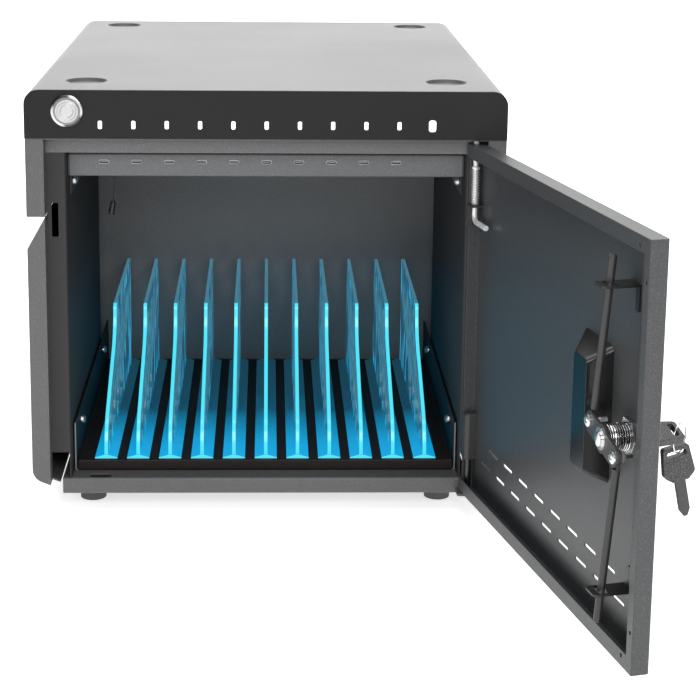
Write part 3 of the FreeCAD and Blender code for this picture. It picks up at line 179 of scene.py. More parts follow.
class Board:
    """A node tree under construction: node() adds any node and gives one of its outputs."""

    def __init__(self, tree):
        self.tree = tree

    def node(self, kind, settings=None, sockets=None, output=0):
        made = self.tree.nodes.new(kind)
        for key, value in (settings or {}).items():
            if key == "stops":
                ramp = made.color_ramp
                while len(ramp.elements) < len(value):
                    ramp.elements.new(1.0)
                for element, (place, colour) in zip(ramp.elements, value):
                    element.position, element.color = place, colour
            else:
                setattr(made, key, value)
        for key, value in (sockets or {}).items():
            self.feed(made.inputs[key], value)
        return Signal(self, made.outputs[output])

    def feed(self, socket, value):
        """Links a signal, or each of a list of signals, or sets a constant."""
        for part in value if isinstance(value, list) else [value]:
            if isinstance(part, Signal):
                self.tree.links.new(part.socket, socket)
            else:
                socket.default_value = part


class Finish(Board):
    """A material: its surface takes constants and signals by socket name."""

    def __init__(self, name):
        self.material = bpy.data.materials.new(name)
        self.material.use_nodes = True
        super().__init__(self.material.node_tree)
        self.surface = self.tree.nodes["Principled BSDF"]

    def shade(self, **sockets):
        for key, value in sockets.items():
            self.feed(self.surface.inputs[key.replace("_", " ")], value)

    def place(self):
        return self.node("ShaderNodeTexCoord", output=3)

    def facing(self):
        return self.node("ShaderNodeTexCoord", output=1)

    def noise(self, scale, detail=2.0, roughness=0.5, vector=None):
        sockets = {"Vector": vector or self.place(), "Scale": scale, "Detail": detail, "Roughness": roughness}
        return self.node("ShaderNodeTexNoise", {}, sockets)

    def stretched(self, scale):
        return self.node("ShaderNodeMapping", {}, {"Vector": self.place(), "Scale": scale})

    def blend(self, mask, first, second):
        return self.node("ShaderNodeMix", {"data_type": "RGBA"}, {0: mask, 6: first, 7: second}, 2)

    def rounding(self, radius):
        return self.node("ShaderNodeBevel", {"samples": 4}, {"Radius": radius})

    def bump(self, height, strength, distance, normal=None):
        sockets = {"Strength": strength, "Distance": distance, "Height": height}
        if normal:
            sockets["Normal"] = normal
        return self.node("ShaderNodeBump", {}, sockets)

    def on(self, *names):
        """Puts the finish on nodes of the frame."""
        for name in names:
            mesh = nodes[name].data
            mesh.materials.clear()
            mesh.materials.append(self.material)
        return self


def grey(shade, tint=(1.0, 1.0, 1.0)):
    return tuple(shade * t for t in tint) + (1,)


def powder_coat(name, shade, gloss, tint=(1.0, 1.0, 1.03), edge=None, specks=0.25):
    """Baked powder coat: grains, bright specks, cloudy gloss, orange peel, edges paler by wear and painted
    highlight.
    """
    coat = Finish(name)
    grains = coat.noise(900.0, 3.0, 0.7)
    peel = coat.noise(420.0, 2.0, 0.5)
    clouds = coat.noise(7.0, 3.0, 0.5)
    rounded = coat.rounding(0.0007)
    worn_and_highlit_edges = (1 - rounded.along(coat.node("ShaderNodeNewGeometry", output=3))).rise(0.02, 0.3)
    body = coat.blend(grains * 0.7 + clouds * 0.3, grey(shade * 0.75, tint), grey(shade * 1.25, tint))
    body = coat.blend(grains.rise(0.52, 0.7) * specks, body, grey(min(0.5, shade * 3.0), tint))
    # Rounded edges blend to a paler grey: partly wear, partly a painted highlight.
    coat.colour = coat.blend(worn_and_highlit_edges * 0.5, body, grey(edge or min(0.5, shade * 2.2), tint))
    coat.shade(Base_Color=coat.colour, Roughness=clouds * 0.1 + grains * 0.1 + (gloss - 0.1),
               Normal=coat.bump(grains * 0.6 + peel, 0.35, 0.00012, rounded))
    return coat


powder_coat("base_powder_coat", shade=0.088, gloss=0.45).on("base_pan", "hinge_ear")

# The feet: four moulded rubber stubs with a dished sole, pushed up into the base, dull black and a
# little dusty.
sole = Finish("foot_rubber")
dust = sole.noise(60.0, 4.0, 0.6)
sole.shade(Base_Color=sole.blend(dust, grey(0.05), grey(0.13)), Roughness=dust * 0.2 + 0.62,
           Normal=sole.bump(sole.noise(700.0), 0.3, 0.0002, sole.rounding(0.0012)))
sole.on("rubber_feet")

# The shell: a folded cover, two lower side panels under the grip groove and a back plate, all of
# thin steel sheet in the same dark grey powder coat, rather glossier on the broad top.
shell_coat = powder_coat("shell_powder_coat", shade=0.084, gloss=0.36)
shell_coat.on("top_cover", "left_side_panel", "right_side_panel")
powder_coat("back_powder_coat", shade=0.11, gloss=0.42).on("back_panel")


# The bay: jambs that run on as inner walls and a partition behind, folded from coated sheet. The
# walls' darker coat is painted shade of the opening and the partition's lighter coat painted light;
# the jambs' narrow front faces are a neutral dark grey.
def looks_forward(finish):
    """1 on the faces that look to the front, 0 on the others."""
    return (finish.facing().split()[1] * -1).rise(0.5, 0.9)


# Painted shade: the walls' coat is darker than the shell's.
wall_coat = powder_coat("wall_powder_coat", shade=0.036, gloss=0.55, tint=(1.06, 0.97, 0.94))
jamb_face = looks_forward(wall_coat)
jamb_grain = wall_coat.blend(wall_coat.noise(900.0, 3.0, 0.7), grey(0.036), grey(0.062))
wall_coat.shade(Base_Color=wall_coat.blend(jamb_face, wall_coat.colour, jamb_grain), Specular_IOR_Level=0.08)
wall_coat.on("left_inner_wall", "right_inner_wall")
# Painted light: the partition's coat is lighter than the other bay sheet.
powder_coat("partition_powder_coat", shade=0.22, gloss=0.5, tint=(1.06, 0.99, 0.95)).on("rear_partition")

# The header and the port shelf: channels folded from coated sheet across the top of the bay, screwed
# to the walls. The shelf's turned-down ears are coated near black as painted shade of the jambs.
powder_coat("header_powder_coat", shade=0.11, gloss=0.42).on("header_bar")
shelf_ear = 0.1665
shelf_coat = powder_coat("shelf_powder_coat", shade=0.11, gloss=0.45, tint=(0.98, 1.0, 1.04))
# Painted shade: the shelf beyond the jambs' inner faces turns near black.
ear_painted_shade = abs(shelf_coat.place().split()[0]) > shelf_ear
shelf_coat.shade(Base_Color=shelf_coat.blend(ear_painted_shade, shelf_coat.colour, grey(0.03)))
shelf_coat.on("port_shelf")

# The tray: a steel sheet with a low front lip and upturned wings that are screwed to the walls, in a
# nearly black satin coat. The front faces of its wings are pale grey as a painted highlight.
wing_reach = 0.1648
tray_coat = powder_coat("tray_powder_coat", shade=0.02, gloss=0.45, tint=(1.12, 0.96, 0.9),
                        edge=0.22, specks=0.1)
# Painted highlight: the wings' forward faces turn pale grey.
wing_edge_painted_highlight = looks_forward(tray_coat) * (abs(tray_coat.place().split()[0]) > wing_reach)
tray_coat.shade(Base_Color=tray_coat.blend(wing_edge_painted_highlight, tray_coat.colour, grey(0.25)), Specular_IOR_Level=0.05)
tray_coat.on("device_tray")


# The bay screws: steel pan heads with a cross recess, zinc plated. Two hold the shelf and four hold
# the tray's wings to the inner walls.
class Pattern(Board):
    """A Geometry Nodes tree with named sizes; grow() turns what it makes into a plain mesh."""

    def __init__(self, name, *sizes):
        super().__init__(bpy.data.node_groups.new(name, "GeometryNodeTree"))
        face = self.tree.interface
        face.new_socket("Geometry", in_out="INPUT", socket_type="NodeSocketGeometry")
        for size in sizes:
            kind = "NodeSocketInt" if size in ("Sides", "Wire Sides") else "NodeSocketFloat"
            face.new_socket(size, in_out="INPUT", socket_type=kind)
        face.new_socket("Finish", in_out="INPUT", socket_type="NodeSocketMaterial")
        face.new_socket("Geometry", in_out="OUTPUT", socket_type="NodeSocketGeometry")
        entry = self.tree.nodes.new("NodeGroupInput")
        self.given = [Signal(self, socket) for socket in entry.outputs[:len(sizes) + 2]]

    def vector(self, x, y, z):
        return self.node("ShaderNodeCombineXYZ", {}, {0: x, 1: y, 2: z})

    def lifted(self, shape, height):
        sockets = {"Geometry": shape, "Translation": self.vector(0, 0, height)}
        return self.node("GeometryNodeTransform", {}, sockets)

    def end(self, points, shape, material, rotation=None):
        """Closes the tree: the shape on each point as a real mesh, with its finish."""
        sockets = {"Points": points, "Instance": shape}
        if rotation:
            sockets["Rotation"] = rotation
        set_out = self.node("GeometryNodeInstanceOnPoints", {}, sockets)
        whole = self.node("GeometryNodeRealizeInstances", {}, {"Geometry": set_out})
        done = self.node("GeometryNodeSetMaterial", {}, {"Geometry": whole, "Material": material})
        self.tree.links.new(done.socket, self.tree.nodes.new("NodeGroupOutput").inputs[0])

    def aimed(self):
        """The rotation that turns a shape's upward axis to the way its point faces."""
        aim = self.node("GeometryNodeInputNamedAttribute", {"data_type": "FLOAT_VECTOR"}, {"Name": "aim"})
        return self.node("FunctionNodeAlignRotationToVector", {"axis": "Z"}, {"Vector": aim})

    def grow(self, name, seats, finish, **sizes):
        """Runs the tree on points, each with the way it faces, and links the mesh as an object."""
        points = bpy.data.meshes.new(name + "_seats")
        points.from_pydata([seat for seat, _ in seats], [], [])
        aims = points.attributes.new("aim", "FLOAT_VECTOR", "POINT")
        aims.data.foreach_set("vector", [part for _, aim in seats for part in aim])
        seed = bpy.data.objects.new(name + "_seats", points)
        scene.collection.objects.link(seed)
        made = seed.modifiers.new("pattern", "NODES")
        made.node_group = self.tree
        values = {key.replace("_", " "): value for key, value in sizes.items()} | {"Finish": finish.material}
        for socket in self.tree.interface.items_tree:
            if socket.in_out == "INPUT" and socket.name in values:
                made[socket.identifier] = values[socket.name]
        bpy.context.view_layer.update()
        mesh = bpy.data.meshes.new_from_object(seed.evaluated_get(bpy.context.evaluated_depsgraph_get()))
        seed.modifiers.remove(made)
        bpy.data.objects.remove(seed)
        mesh.shade_smooth()
        mesh.set_sharp_from_angle(angle=math.radians(35))
        piece = bpy.data.objects.new(name, mesh)
        scene.collection.objects.link(piece)
        return piece


def plated(name, shade, rough, grain=(400.0, 400.0, 400.0), metallic=1.0):
    """Plated or drawn metal: fine lines, a cloudy polish and darkened hollows between the lines."""
    metal = Finish(name)
    lines = metal.noise(1.0, 3.0, 0.6, metal.stretched(grain))
    cloud = metal.noise(90.0, 2.0, 0.5)
    metal.shade(Base_Color=metal.blend(lines * 0.6 + cloud * 0.4, grey(shade * 0.8), grey(shade)),
                Metallic=metallic, Roughness=lines * 0.12 + cloud * 0.1 + (rough - 0.1),
                Normal=metal.bump(lines, 0.08, 0.0002, metal.rounding(0.0003)))
    return metal


cross_heads = Pattern("cross_head_screws", "Head Radius", "Head Height", "Shank Radius", "Shank Length")
seats, head_radius, head_height, shank_radius, shank_length, screw_finish = cross_heads.given
head_sides, shank_sides, crown_fall = 36, 20, 0.55
recess_long, recess_short, recess_tall, recess_lift = 1.15, 0.26, 1.4, 1.15
head = cross_heads.node("GeometryNodeMeshCylinder", {"fill_type": "TRIANGLE_FAN"}, {
    "Vertices": head_sides, "Side Segments": 1, "Fill Segments": 6, "Radius": head_radius,
    "Depth": head_height})
px, py, pz = cross_heads.node("GeometryNodeInputPosition").split()
reach = (px * px + py * py) ** 0.5 / head_radius
crown = reach ** 3.0 * head_height * -crown_fall * (pz > 0.0) + head_height * 0.5
head = cross_heads.node("GeometryNodeSetPosition", {}, {
    "Geometry": head, "Offset": cross_heads.vector(0, 0, crown)})
arms = []
for long_way, short_way in ((recess_long, recess_short), (recess_short, recess_long)):
    size = cross_heads.vector(head_radius * long_way, head_radius * short_way, head_height * recess_tall)
    arm = cross_heads.node("GeometryNodeMeshCube", {}, {"Size": size})
    arms.append(cross_heads.lifted(arm, head_height * recess_lift))
head = cross_heads.node("GeometryNodeMeshBoolean", {"operation": "DIFFERENCE"}, {
    "Mesh 1": head, "Mesh 2": arms})
shank = cross_heads.node("GeometryNodeMeshCylinder", {}, {
    "Vertices": shank_sides, "Radius": shank_radius, "Depth": shank_length})
shank = cross_heads.lifted(shank, shank_length * -0.5)
screw = cross_heads.node("GeometryNodeJoinGeometry", {}, {0: [head, shank]})
cross_heads.end(seats, screw, screw_finish, cross_heads.aimed())

zinc = plated("zinc_plating", shade=0.62, rough=0.3)
shelf_screw = (0.1669, -0.1925, 0.2859)
tray_screws = ((0.1659, -0.1725, 0.06208), (0.1659, 0.0435, 0.06208))
bay_seats = [((side * x, y, z), (-side, 0, 0)) for side in (-1, 1) for x, y, z in (shelf_screw, *tray_screws)]
pan_head = {"Head_Radius": 0.004, "Shank_Radius": 0.0019, "Shank_Length": 0.006}
bay_screws = cross_heads.grow("bay_cross_screws", bay_seats, zinc, Head_Height=0.0042, **pan_head)
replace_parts(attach(bay_screws, "cabinet"), "bay_screws")

# The dividers: eleven fins moulded in clear blue plastic with an S-shaped front and slanted windows,
# on roof-shaped feet. Their emission is painted light: bright at the front edges and the feet's front,
# dimmer on the sides, fading to the back.
tray_top, foot_top, foot_fade = 0.0316, 0.0032, 0.0042
fin_height, fin_front, fin_back, fin_rim = 0.112, -0.1905, 0.1045, 0.011
fin_lean, lean_start, lean_end = 0.113, 0.22, 0.78
painted_dim_glow, painted_side_glow, painted_edge_glow = (0.006, 0.045, 0.085, 1), (0.03, 0.34, 0.56, 1), (0.09, 0.76, 0.92, 1)
edge_lit = Finish("edge_lit_blue_plastic")
nx, ny, nz = edge_lit.facing().split()
_, py, pz = edge_lit.place().split()
streaks = edge_lit.noise(30.0, 3.0, 0.5, edge_lit.stretched((8.0, 2.2, 0.7)))
# Painted light: the emission fades from the front to the back and is brightest on the front edges.
behind = py.rise(fin_front, fin_back)
foot = 1 - pz.rise(tray_top + foot_top, tray_top + foot_fade)
slope = (pz - tray_top).rise(fin_height * lean_start, fin_height * lean_end, "LINEAR") * fin_lean + fin_front
front_edge = (ny * -1).rise(0.12, 0.4) * (1 - (py - slope).rise(fin_rim * 0.75, fin_rim * 0.95))
rim = (1 - abs(nx)).rise(0.4, 0.9)
side_face = edge_lit.blend(streaks.rise(0.46, 0.66), painted_dim_glow, painted_side_glow)
other_edge = edge_lit.blend(nz.rise(0.3, 0.7), (0.01, 0.1, 0.16, 1), (0.05, 0.17, 0.24, 1))
lit = edge_lit.blend(rim, side_face, other_edge)
lit = edge_lit.blend(front_edge, lit, painted_edge_glow)
painted_depth_glow = edge_lit.node("ShaderNodeValToRGB", {"stops": (
    (0.0, (0.002, 0.33, 0.66, 1)), (0.16, (0.0, 0.2, 0.38, 1)), (0.42, (0.002, 0.035, 0.065, 1)),
    (0.9, (0.003, 0.034, 0.05, 1)))}, {0: behind})
lit = edge_lit.blend(foot * (1 - front_edge), lit, painted_depth_glow)
edge_lit.shade(Base_Color=edge_lit.blend(streaks, (0.006, 0.06, 0.09, 1), (0.012, 0.11, 0.16, 1)),
               Roughness=streaks * 0.1 + 0.14, Emission_Color=lit, Emission_Strength=1.0,
               Normal=edge_lit.bump(streaks, 0.08, 0.0006, edge_lit.rounding(0.0005)))
edge_lit.on(*[name for name in nodes if name.startswith("divider_")])

# The ports: drawn steel shells round a black tongue, one for each place, soldered to the charger
# board, which stands on posts over the shelf. Behind its rolled front edge a shell is painted dark as shade.
port_mouth = min(corner.co.y for corner in nodes["usb_receptacles"].data.vertices)
rolled_edge, dark_from = 0.0003, 0.0012
ports = Finish("port_shells")
drawn = ports.noise(1.0, 3.0, 0.6, ports.stretched((300.0, 2000.0, 300.0)))
# Painted shade: inside a shell, past its rolled edge, the metal turns near black and dull.
painted_port_shade = (ports.place().split()[1] - port_mouth).rise(rolled_edge, dark_from)
ports.shade(Base_Color=ports.blend(painted_port_shade, ports.blend(drawn, grey(0.55), grey(0.8)), grey(0.02)),
            Metallic=1 - painted_port_shade * 0.7, Roughness=drawn * 0.15 + 0.34,
            Normal=ports.bump(drawn, 0.1, 0.0001, ports.rounding(0.0002)))
ports.on("usb_receptacles")

# The boards: green glass laminate with a net of copper tracks under the solder mask; one carries the
# ports and one the lights. Hex posts of brushed metal hold the first over the shelf.
laminate = Finish("board_laminate")
tracks = laminate.node("ShaderNodeTexVoronoi", {"feature": "DISTANCE_TO_EDGE", "distance": "EUCLIDEAN"},
                       {"Vector": laminate.stretched((1.0, 2.5, 1.0)), "Scale": 140.0})
copper = 1 - tracks.rise(0.02, 0.05)
weave = laminate.noise(1500.0, 1.0, 0.4)
solder_mask = laminate.blend(weave, (0.006, 0.07, 0.03, 1), (0.01, 0.1, 0.045, 1))
laminate.shade(Base_Color=laminate.blend(copper, solder_mask, (0.05, 0.2, 0.08, 1)),
               Roughness=weave * 0.1 + 0.3, Normal=laminate.bump(copper, 0.2, 0.0001))
laminate.on("charger_board", "light_board")
plated("post_nickel", shade=0.6, rough=0.3).on("board_standoffs")

# The fascia: a black moulding with a fine spark-eroded grain, clipped over the front of the cover. Its
# satin face is smeared a little by hands.
fascia_black = Finish("fascia_black")
grain = fascia_black.noise(1400.0, 2.0, 0.5)
smear = fascia_black.noise(9.0, 3.0, 0.55)
fascia_black.shade(Base_Color=fascia_black.blend(grain, grey(0.009), grey(0.017)),
                   Roughness=grain * 0.1 + smear * 0.1 + 0.3, Specular_IOR_Level=0.2,
                   Normal=fascia_black.bump(grain, 0.15, 0.0001, fascia_black.rounding(0.0006)))
fascia_black.on("front_fascia")

# The lights: milky acrylic guides that carry the light of the board behind to the fascia's face, ten
# small ones and a larger one for the mains.
milky = Finish("milky_light_guide")
haze = milky.noise(300.0, 2.0, 0.5)
milky.shade(Base_Color=milky.blend(haze, (0.86, 0.88, 0.9, 1), (0.95, 0.96, 0.97, 1)),
            Roughness=haze * 0.1 + 0.3,
            Emission_Color=milky.blend(haze, (0.86, 0.9, 0.95, 1), (1, 1, 1, 1)), Emission_Strength=0.9)
milky.on("light_guides")


# The push button: a chromed bezel screwed through the fascia with a nut behind, and a brushed cap
# turned with two rings, which springs back when pressed.
def turned_metal(name, shade, rough, centre, axis, pitch=0.0003):
    """Metal turned on a lathe: fine rings about an axis, with a cloudy polish."""
    metal = Finish(name)
    arm = metal.node("ShaderNodeVectorMath", {"operation": "SUBTRACT"}, {0: metal.place(), 1: centre})
    across = metal.node("ShaderNodeVectorMath", {"operation": "CROSS_PRODUCT"}, {0: arm, 1: axis})
    radius = metal.node("ShaderNodeVectorMath", {"operation": "LENGTH"}, {0: across}, 1)
    rings = metal.noise(1.0, 3.0, 0.7, metal.node("ShaderNodeCombineXYZ", {}, {0: radius / pitch}))
    cloud = metal.noise(120.0, 2.0, 0.5)
    metal.shade(Base_Color=metal.blend(rings * 0.7 + cloud * 0.3, grey(shade * 0.85), grey(shade)),
                Metallic=1.0, Roughness=rings * 0.14 + cloud * 0.08 + (rough - 0.1),
                Normal=metal.bump(rings, 0.1, 0.0002, metal.rounding(0.0003)))
    return metal


button_middle, button_axis = (-0.1644, -0.26, 0.3562), (0, 1, 0)
bezel_radius = max(corner.co.x for corner in nodes["button_housing"].data.vertices) - button_middle[0]
lip_inner, lip_outer, arc_turn = 0.8, 0.86, 0.5
bezel = turned_metal("button_chrome", shade=0.26, rough=0.2, centre=button_middle, axis=button_axis)
px, _, pz = bezel.place().split()
across = px - button_middle[0]
up = pz - button_middle[2]
lip = ((across * across + up * up) ** 0.5 / bezel_radius).rise(lip_inner, lip_outer)
# Painted reflections: the bezel's lip runs light and dark in arcs round the button.
painted_reflection_arcs = up.maths("SINE", up.maths("ARCTAN2", up, across) * 2.0 + arc_turn).rise(-0.5, 0.3)
lip_painted_reflection = bezel.blend(painted_reflection_arcs, grey(0.07), grey(0.62))
bezel.shade(Base_Color=bezel.blend(lip, bezel.blend(bezel.noise(120.0), grey(0.2), grey(0.28)), lip_painted_reflection))
bezel.on("button_housing")
cap_brushed = turned_metal("button_brushed", shade=0.6, rough=0.3, centre=button_middle, axis=button_axis,
                           pitch=0.0002)
cap_brushed.on("button_cap")
plated("nut_nickel", shade=0.6, rough=0.28).on("button_nut")

# The rear compartment: a switched supply in a case of galvanised sheet, whose zinc has set in broad
# crystals, beside a moulded mains inlet with brass pins and a small black fan behind its grille.
galvanised = Finish("galvanised_case")
crystals = galvanised.node("ShaderNodeTexVoronoi", {"feature": "F1"},
                           {"Vector": galvanised.place(), "Scale": 130.0}, 1)
crystal_tone = galvanised.node("ShaderNodeSeparateColor", {}, {0: crystals})
galvanised.shade(Base_Color=galvanised.blend(crystal_tone, grey(0.4), grey(0.62)), Metallic=1.0,
                 Roughness=crystal_tone * 0.2 + 0.3,
                 Normal=galvanised.bump(galvanised.noise(250.0), 0.08, 0.0002, galvanised.rounding(0.0008)))
galvanised.on("power_supply")


def moulded(name, shade, rough, grain=900.0, depth=0.25):
    """Black moulded plastic with a stippled skin and smooth edges."""
    plastic = Finish(name)
    cool = (1.0, 1.0, 1.02)
    stipple = plastic.noise(grain, 2.0, 0.6)
    flow = plastic.noise(18.0, 3.0, 0.5)
    hollow, crest = grey(shade * (1 - depth), cool), grey(shade * (1 + depth), cool)
    plastic.shade(Base_Color=plastic.blend(stipple * 0.6 + flow * 0.4, hollow, crest),
                  Roughness=stipple * 0.15 + flow * 0.1 + (rough - 0.12),
                  Normal=plastic.bump(stipple, depth, 0.00015, plastic.rounding(0.0008)))
    return plastic


inlet_x, inlet_z = -0.12, 0.074
pin_half_width, pin_half_height, pin_root, pin_tip = 0.00115, 0.00215, 0.2345, 0.2515
inlet = moulded("inlet_plastic", shade=0.02, rough=0.4)
px, py, pz = inlet.place().split()
pins = 0.0
for dx, dz in ((-0.007, -0.001), (0.007, -0.001), (0.0, 0.003)):
    in_width = abs(px - (inlet_x + dx)) < pin_half_width
    in_height = abs(pz - (inlet_z + dz)) < pin_half_height
    pins = in_width * in_height + pins
pins = pins * (py < pin_tip) * (py > pin_root)
inlet.shade(Base_Color=inlet.blend(pins, grey(0.02), (0.78, 0.57, 0.25, 1)), Metallic=pins)
inlet.on("mains_inlet")
moulded("fan_plastic", shade=0.018, rough=0.42, grain=500.0).on("fan_frame", "fan_rotor")

# The back screws: the same zinc-plated cross heads, six in the rear flanges and four in the fan's
# corners.
back_face, back_way = 0.2525, (0, 1, 0)
flange_x, flange_rows = 0.1894, (0.072, 0.20275, 0.3335)
fan_x, fan_z, fan_corner = 0.092, 0.217, 0.03575
back_seats = [((side * flange_x, back_face, z), back_way) for side in (-1, 1) for z in flange_rows]
back_seats += [((fan_x + dx, back_face, fan_z + dz), back_way)
               for dx in (-fan_corner, fan_corner) for dz in (-fan_corner, fan_corner)]
back_screws = cross_heads.grow("back_cross_screws", back_seats, zinc, Head_Height=0.0022, **pan_head)
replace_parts(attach(back_screws, "cabinet"), "back_screws")

# The temperature probe: a capsule of black epoxy on a thin rubber-sheathed lead, which comes down
# through a grommet in the shelf and hangs free below it.
sheath = Finish("lead_sheath")
scuffs = sheath.noise(500.0, 3.0, 0.6)
sheath.shade(Base_Color=sheath.blend(scuffs, grey(0.012), grey(0.03)), Roughness=scuffs * 0.2 + 0.45,
             Normal=sheath.bump(scuffs, 0.15, 0.0001))
lead_start = Vector((-0.1302, -0.2085, 0.3041))
lead_steps = ((0.0, 0.0, 0.0), (0.0, 0.0, -0.0115), (0.0007, 0.0006, -0.018), (0.0002, 0.001, -0.0255),
              (-0.001, 0.0006, -0.0325))
lead_line = bpy.data.curves.new("probe_lead", "CURVE")
lead_line.dimensions = "3D"
lead_line.bevel_depth = 0.0008
lead_line.bevel_resolution = 4
lead_line.resolution_u = 12
lead_line.use_fill_caps = True
run = lead_line.splines.new("NURBS")
run.points.add(len(lead_steps) - 1)
for point, step in zip(run.points, lead_steps):
    point.co = (*(lead_start + Vector(step)), 1.0)
run.order_u = 3
run.use_endpoint_u = True
lead_line.materials.append(sheath.material)
lead = bpy.data.objects.new("probe_lead", lead_line)
scene.collection.objects.link(lead)
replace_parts(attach(lead, "cabinet"), "sensor_lead")
moulded("probe_epoxy", shade=0.008, rough=0.26, grain=700.0).on("sensor_probe")
moulded("grommet_rubber", shade=0.015, rough=0.6, grain=700.0).on("lead_grommet")

# The door: a shallow pan folded from the same sheet, open to the inside, with two rows of vents low
# down and small holes in its returns. Its coat is a cooler grey than the shell's and darker as painted shade.
# Painted shade: the door's coat is darker than the shell's.
door_coat = powder_coat("door_powder_coat", shade=0.046, gloss=0.4, tint=(0.97, 1.0, 1.04),
                        edge=0.16, specks=0.6)
door_coat.on("door_panel")

# The pull cup: a black moulded pocket that passes through the door's skin, so that the fingers can
# draw the door open; its floor is polished and its edges are softened.
moulded("cup_plastic", shade=0.007, rough=0.22, grain=600.0, depth=0.02).on("pull_cup")

# The hinge bolt: a bright steel rod bent to a handle, which slides up into the header. A wound spring
# on it pushes against a thin guide in the door; the lower hinge is a block with a pin.
hinge_line = Vector((0.1755, -0.2453, 0.0))
rod_grain = (900.0, 900.0, 60.0)
plated("bolt_steel", shade=0.92, rough=0.26, grain=rod_grain, metallic=0.35).on("hinge_bolt")
plated("pin_steel", shade=0.1, rough=0.36, grain=rod_grain).on("lower_hinge_pin")
powder_coat("hinge_block_coat", shade=0.036, gloss=0.42).on("lower_hinge_block", "bolt_guide")

coils = Pattern("wound_wire", "Turns", "Coil Radius", "Coil Height", "Wire Radius", "Wire Sides")
start, turns, coil_radius, coil_height, wire_radius, wire_sides, wire_finish = coils.given
helix = coils.node("GeometryNodeCurveSpiral", {}, {
    "Resolution": 40, "Rotations": turns, "Start Radius": coil_radius, "End Radius": coil_radius,
    "Height": coil_height})
section = coils.node("GeometryNodeCurvePrimitiveCircle", {"mode": "RADIUS"}, {
    "Resolution": wire_sides, "Radius": wire_radius})
wire = coils.node("GeometryNodeCurveToMesh", {}, {
    "Curve": helix, "Profile Curve": section, "Fill Caps": True})
coils.end(start, wire, wire_finish)

spring_low, spring_high, spring_foot = 0.27705, 0.30645, 0.2765
spring_wire = plated("spring_wire", shade=0.9, rough=0.25, grain=(900.0, 900.0, 900.0), metallic=0.4)
spring = coils.grow("wound_bolt_spring", [(hinge_line + Vector((0, 0, spring_low)), (0, 0, 1))], spring_wire,
                    Turns=13.0, Coil_Radius=0.00305, Coil_Height=spring_high - spring_low, Wire_Radius=0.0004,
                    Wire_Sides=10)
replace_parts(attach(spring, "door"), "bolt_spring")
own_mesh(spring)

# The lock: a chromed barrel with a cut thread, its roots painted dark as shade, held in the door's
# skin by a hex nut. A plug turns in it with the key and carries the cam.
toward_free, outward = Vector((0.22750, -0.97378, 0.0)), Vector((0.97378, 0.22750, 0.0))
lock_reach, lock_height = 0.316, 0.17925
lock_middle = hinge_line + toward_free * lock_reach + Vector((0, 0, lock_height))
thread_start, thread_end, thread_root, thread_crest = -0.0147, 0.002, 0.0095, 0.0099
chrome = turned_metal("lock_chrome", shade=0.8, rough=0.28, centre=lock_middle, axis=outward)
arm = chrome.node("ShaderNodeVectorMath", {"operation": "SUBTRACT"}, {0: chrome.place(), 1: lock_middle})
depth = arm.along(outward)
radius = (arm.along(arm) - depth * depth) ** 0.5
polish = chrome.noise(120.0, 2.0, 0.5) * 0.2 + 0.7
# Painted shade: the roots of the thread are darkened.
root_painted_shade = (1 - radius.rise(thread_root, thread_crest)) * (radius > thread_root * 0.97) * (depth < thread_end)
chrome.shade(Base_Color=chrome.blend(root_painted_shade, grey(0.9), grey(0.12)), Roughness=1 - polish)
chrome.on("lock_barrel", "lock_plug")
nut_chrome = turned_metal("lock_nut_chrome", shade=0.75, rough=0.24, centre=lock_middle, axis=outward,
                          pitch=0.0004)
nut_chrome.on("lock_nut")
thread = coils.grow("barrel_thread", [((0, 0, 0), (0, 0, 1))], chrome, Turns=9.0, Coil_Radius=0.00945,
                    Coil_Height=0.0158, Wire_Radius=0.0006, Wire_Sides=4)
thread_way = outward.to_track_quat("Z", "Y").to_matrix().to_4x4()
thread.data.transform(Matrix.Translation(lock_middle + outward * thread_start) @ thread_way)
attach(thread, "door")


# The cam: a blackened steel bar on the plug's tail, held by a stepped washer under a domed cap. At
# each end a cross-head screw with a hex nut behind is the pivot of a rod.
def blackened(name, shade, rough, grain=(220.0, 220.0, 220.0)):
    """Steel blackened in hot oil: mottled dark film and a soft shine."""
    steel = Finish(name)
    oil = steel.noise(1.0, 3.0, 0.6, steel.stretched(grain))
    stain = steel.noise(45.0, 3.0, 0.55)
    steel.shade(Base_Color=steel.blend(oil * 0.6 + stain * 0.4, grey(shade * 0.6), grey(shade * 1.4)),
                Metallic=0.6, Roughness=oil * 0.15 + stain * 0.1 + (rough - 0.12),
                Normal=steel.bump(oil, 0.1, 0.0002, steel.rounding(0.0005)))
    return steel


blackened("cam_steel", shade=0.07, rough=0.34).on("lock_cam")
cam_face, cam_reach, cam_rise = -0.0177, 0.021585, 0.005986
pivots = [lock_middle + toward_free * (cam_reach * end) + Vector((0, 0, -cam_rise * end)) for end in (-1, 1)]
pivot_seats = [(pivot + outward * cam_face, -outward) for pivot in pivots]
screw_chrome = plated("cam_screw_chrome", shade=0.8, rough=0.22, grain=(120.0, 120.0, 120.0))
pivot_screws = cross_heads.grow("cam_pivot_screws", pivot_seats, screw_chrome, Head_Radius=0.0046,
                                Head_Height=0.0026, Shank_Radius=0.002, Shank_Length=0.0137)
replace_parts(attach(pivot_screws, "lock"), "cam_screws")

discs = Pattern("flat_discs", "Sides", "Radius", "Height", "Crown")
disc_seats, disc_sides, disc_radius, disc_height, disc_crown, disc_finish = discs.given
disc = discs.node("GeometryNodeMeshCylinder", {"fill_type": "TRIANGLE_FAN"}, {
    "Vertices": disc_sides, "Side Segments": 2, "Fill Segments": 3, "Radius": disc_radius,
    "Depth": disc_height})
px, py, pz = discs.node("GeometryNodeInputPosition").split()
bulge = (1 - (px * px + py * py) / (disc_radius * disc_radius)) * disc_crown * (pz > 0.0) + disc_height * 0.5
disc = discs.node("GeometryNodeSetPosition", {}, {"Geometry": disc, "Offset": discs.vector(0, 0, bulge)})
discs.end(disc_seats, disc, disc_finish, discs.aimed())

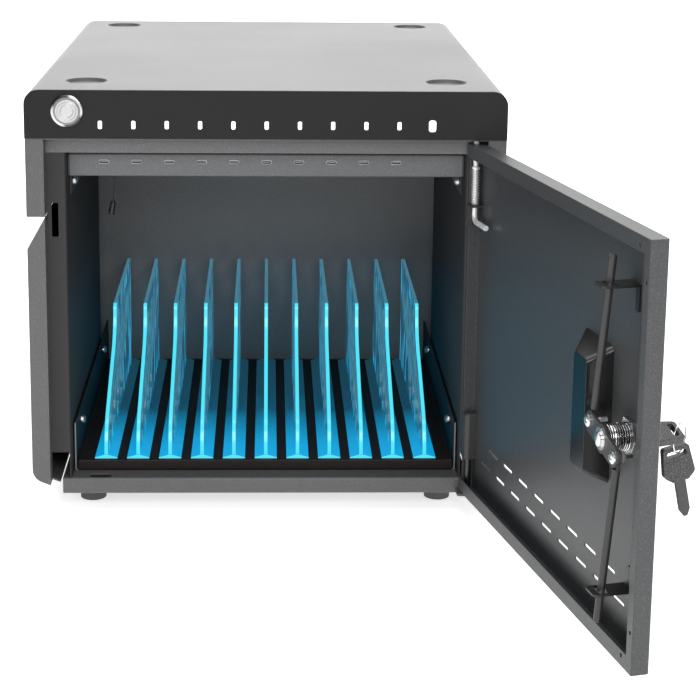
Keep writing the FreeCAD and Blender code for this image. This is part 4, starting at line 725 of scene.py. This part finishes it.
washer_height, step_height, nut_seat = 0.0008, 0.0004, -0.0127
step_seat = cam_face - washer_height
cap_seat = step_seat - step_height
for name, seat, way, middles, sizes in (
        ("cam_washer", cam_face, -outward, [lock_middle],
         {"Sides": 48, "Radius": 0.008, "Height": washer_height, "Crown": 0.0}),
        ("cam_washer_step", step_seat, -outward, [lock_middle],
         {"Sides": 48, "Radius": 0.0066, "Height": step_height, "Crown": 0.0}),
        ("cam_cap", cap_seat, -outward, [lock_middle],
         {"Sides": 48, "Radius": 0.0053, "Height": 0.0014, "Crown": 0.001}),
        ("pivot_nuts", nut_seat, outward, pivots,
         {"Sides": 6, "Radius": 0.00404, "Height": 0.003, "Crown": 0.0})):
    part = discs.grow(name, [(middle + outward * seat, way) for middle in middles], screw_chrome, **sizes)
    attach(part, "lock")

# The rods: round bars flattened at the pivot, which the cam pushes out through bent strap guides into
# the header and the base.
blackened("rod_steel", shade=0.05, rough=0.42, grain=(500.0, 500.0, 60.0)).on("upper_rod", "lower_rod")
blackened("strap_steel", shade=0.04, rough=0.36).on("rod_guides")


# The keys: flat steel blades with a black moulded bow; one stands in the lock and a spare hangs from
# it on a ring of bright wire.
def key_finish(name, node, toward_tip, blade_length=0.0274):
    """Dark plated blade and stippled bow, told apart by the way along the key."""
    bow_end = max(corner.co.dot(toward_tip) for corner in nodes[node].data.vertices) - blade_length
    key = moulded(name, shade=0.03, rough=0.42, grain=1100.0)
    blade = key.place().along(tuple(toward_tip)) > bow_end
    scratches = key.noise(1.0, 3.0, 0.6, key.stretched((700.0, 700.0, 200.0)))
    stipple = key.noise(1300.0, 1.0, 0.5).rise(0.5, 0.62)
    bow_skin = key.blend(stipple, grey(0.025), grey(0.1))
    blade_skin = key.blend(scratches, grey(0.045), grey(0.085))
    key.shade(Base_Color=key.blend(blade, bow_skin, blade_skin), Metallic=blade * 0.5,
              Roughness=scratches * 0.15 + 0.36)
    key.on(node)


key_finish("inserted_key_finish", "inserted_key", -outward)
key_finish("spare_key_finish", "spare_key", Vector((0.2024, 0.0473, -0.9781)))
plated("ring_wire", shade=0.85, rough=0.2).on("key_ring")
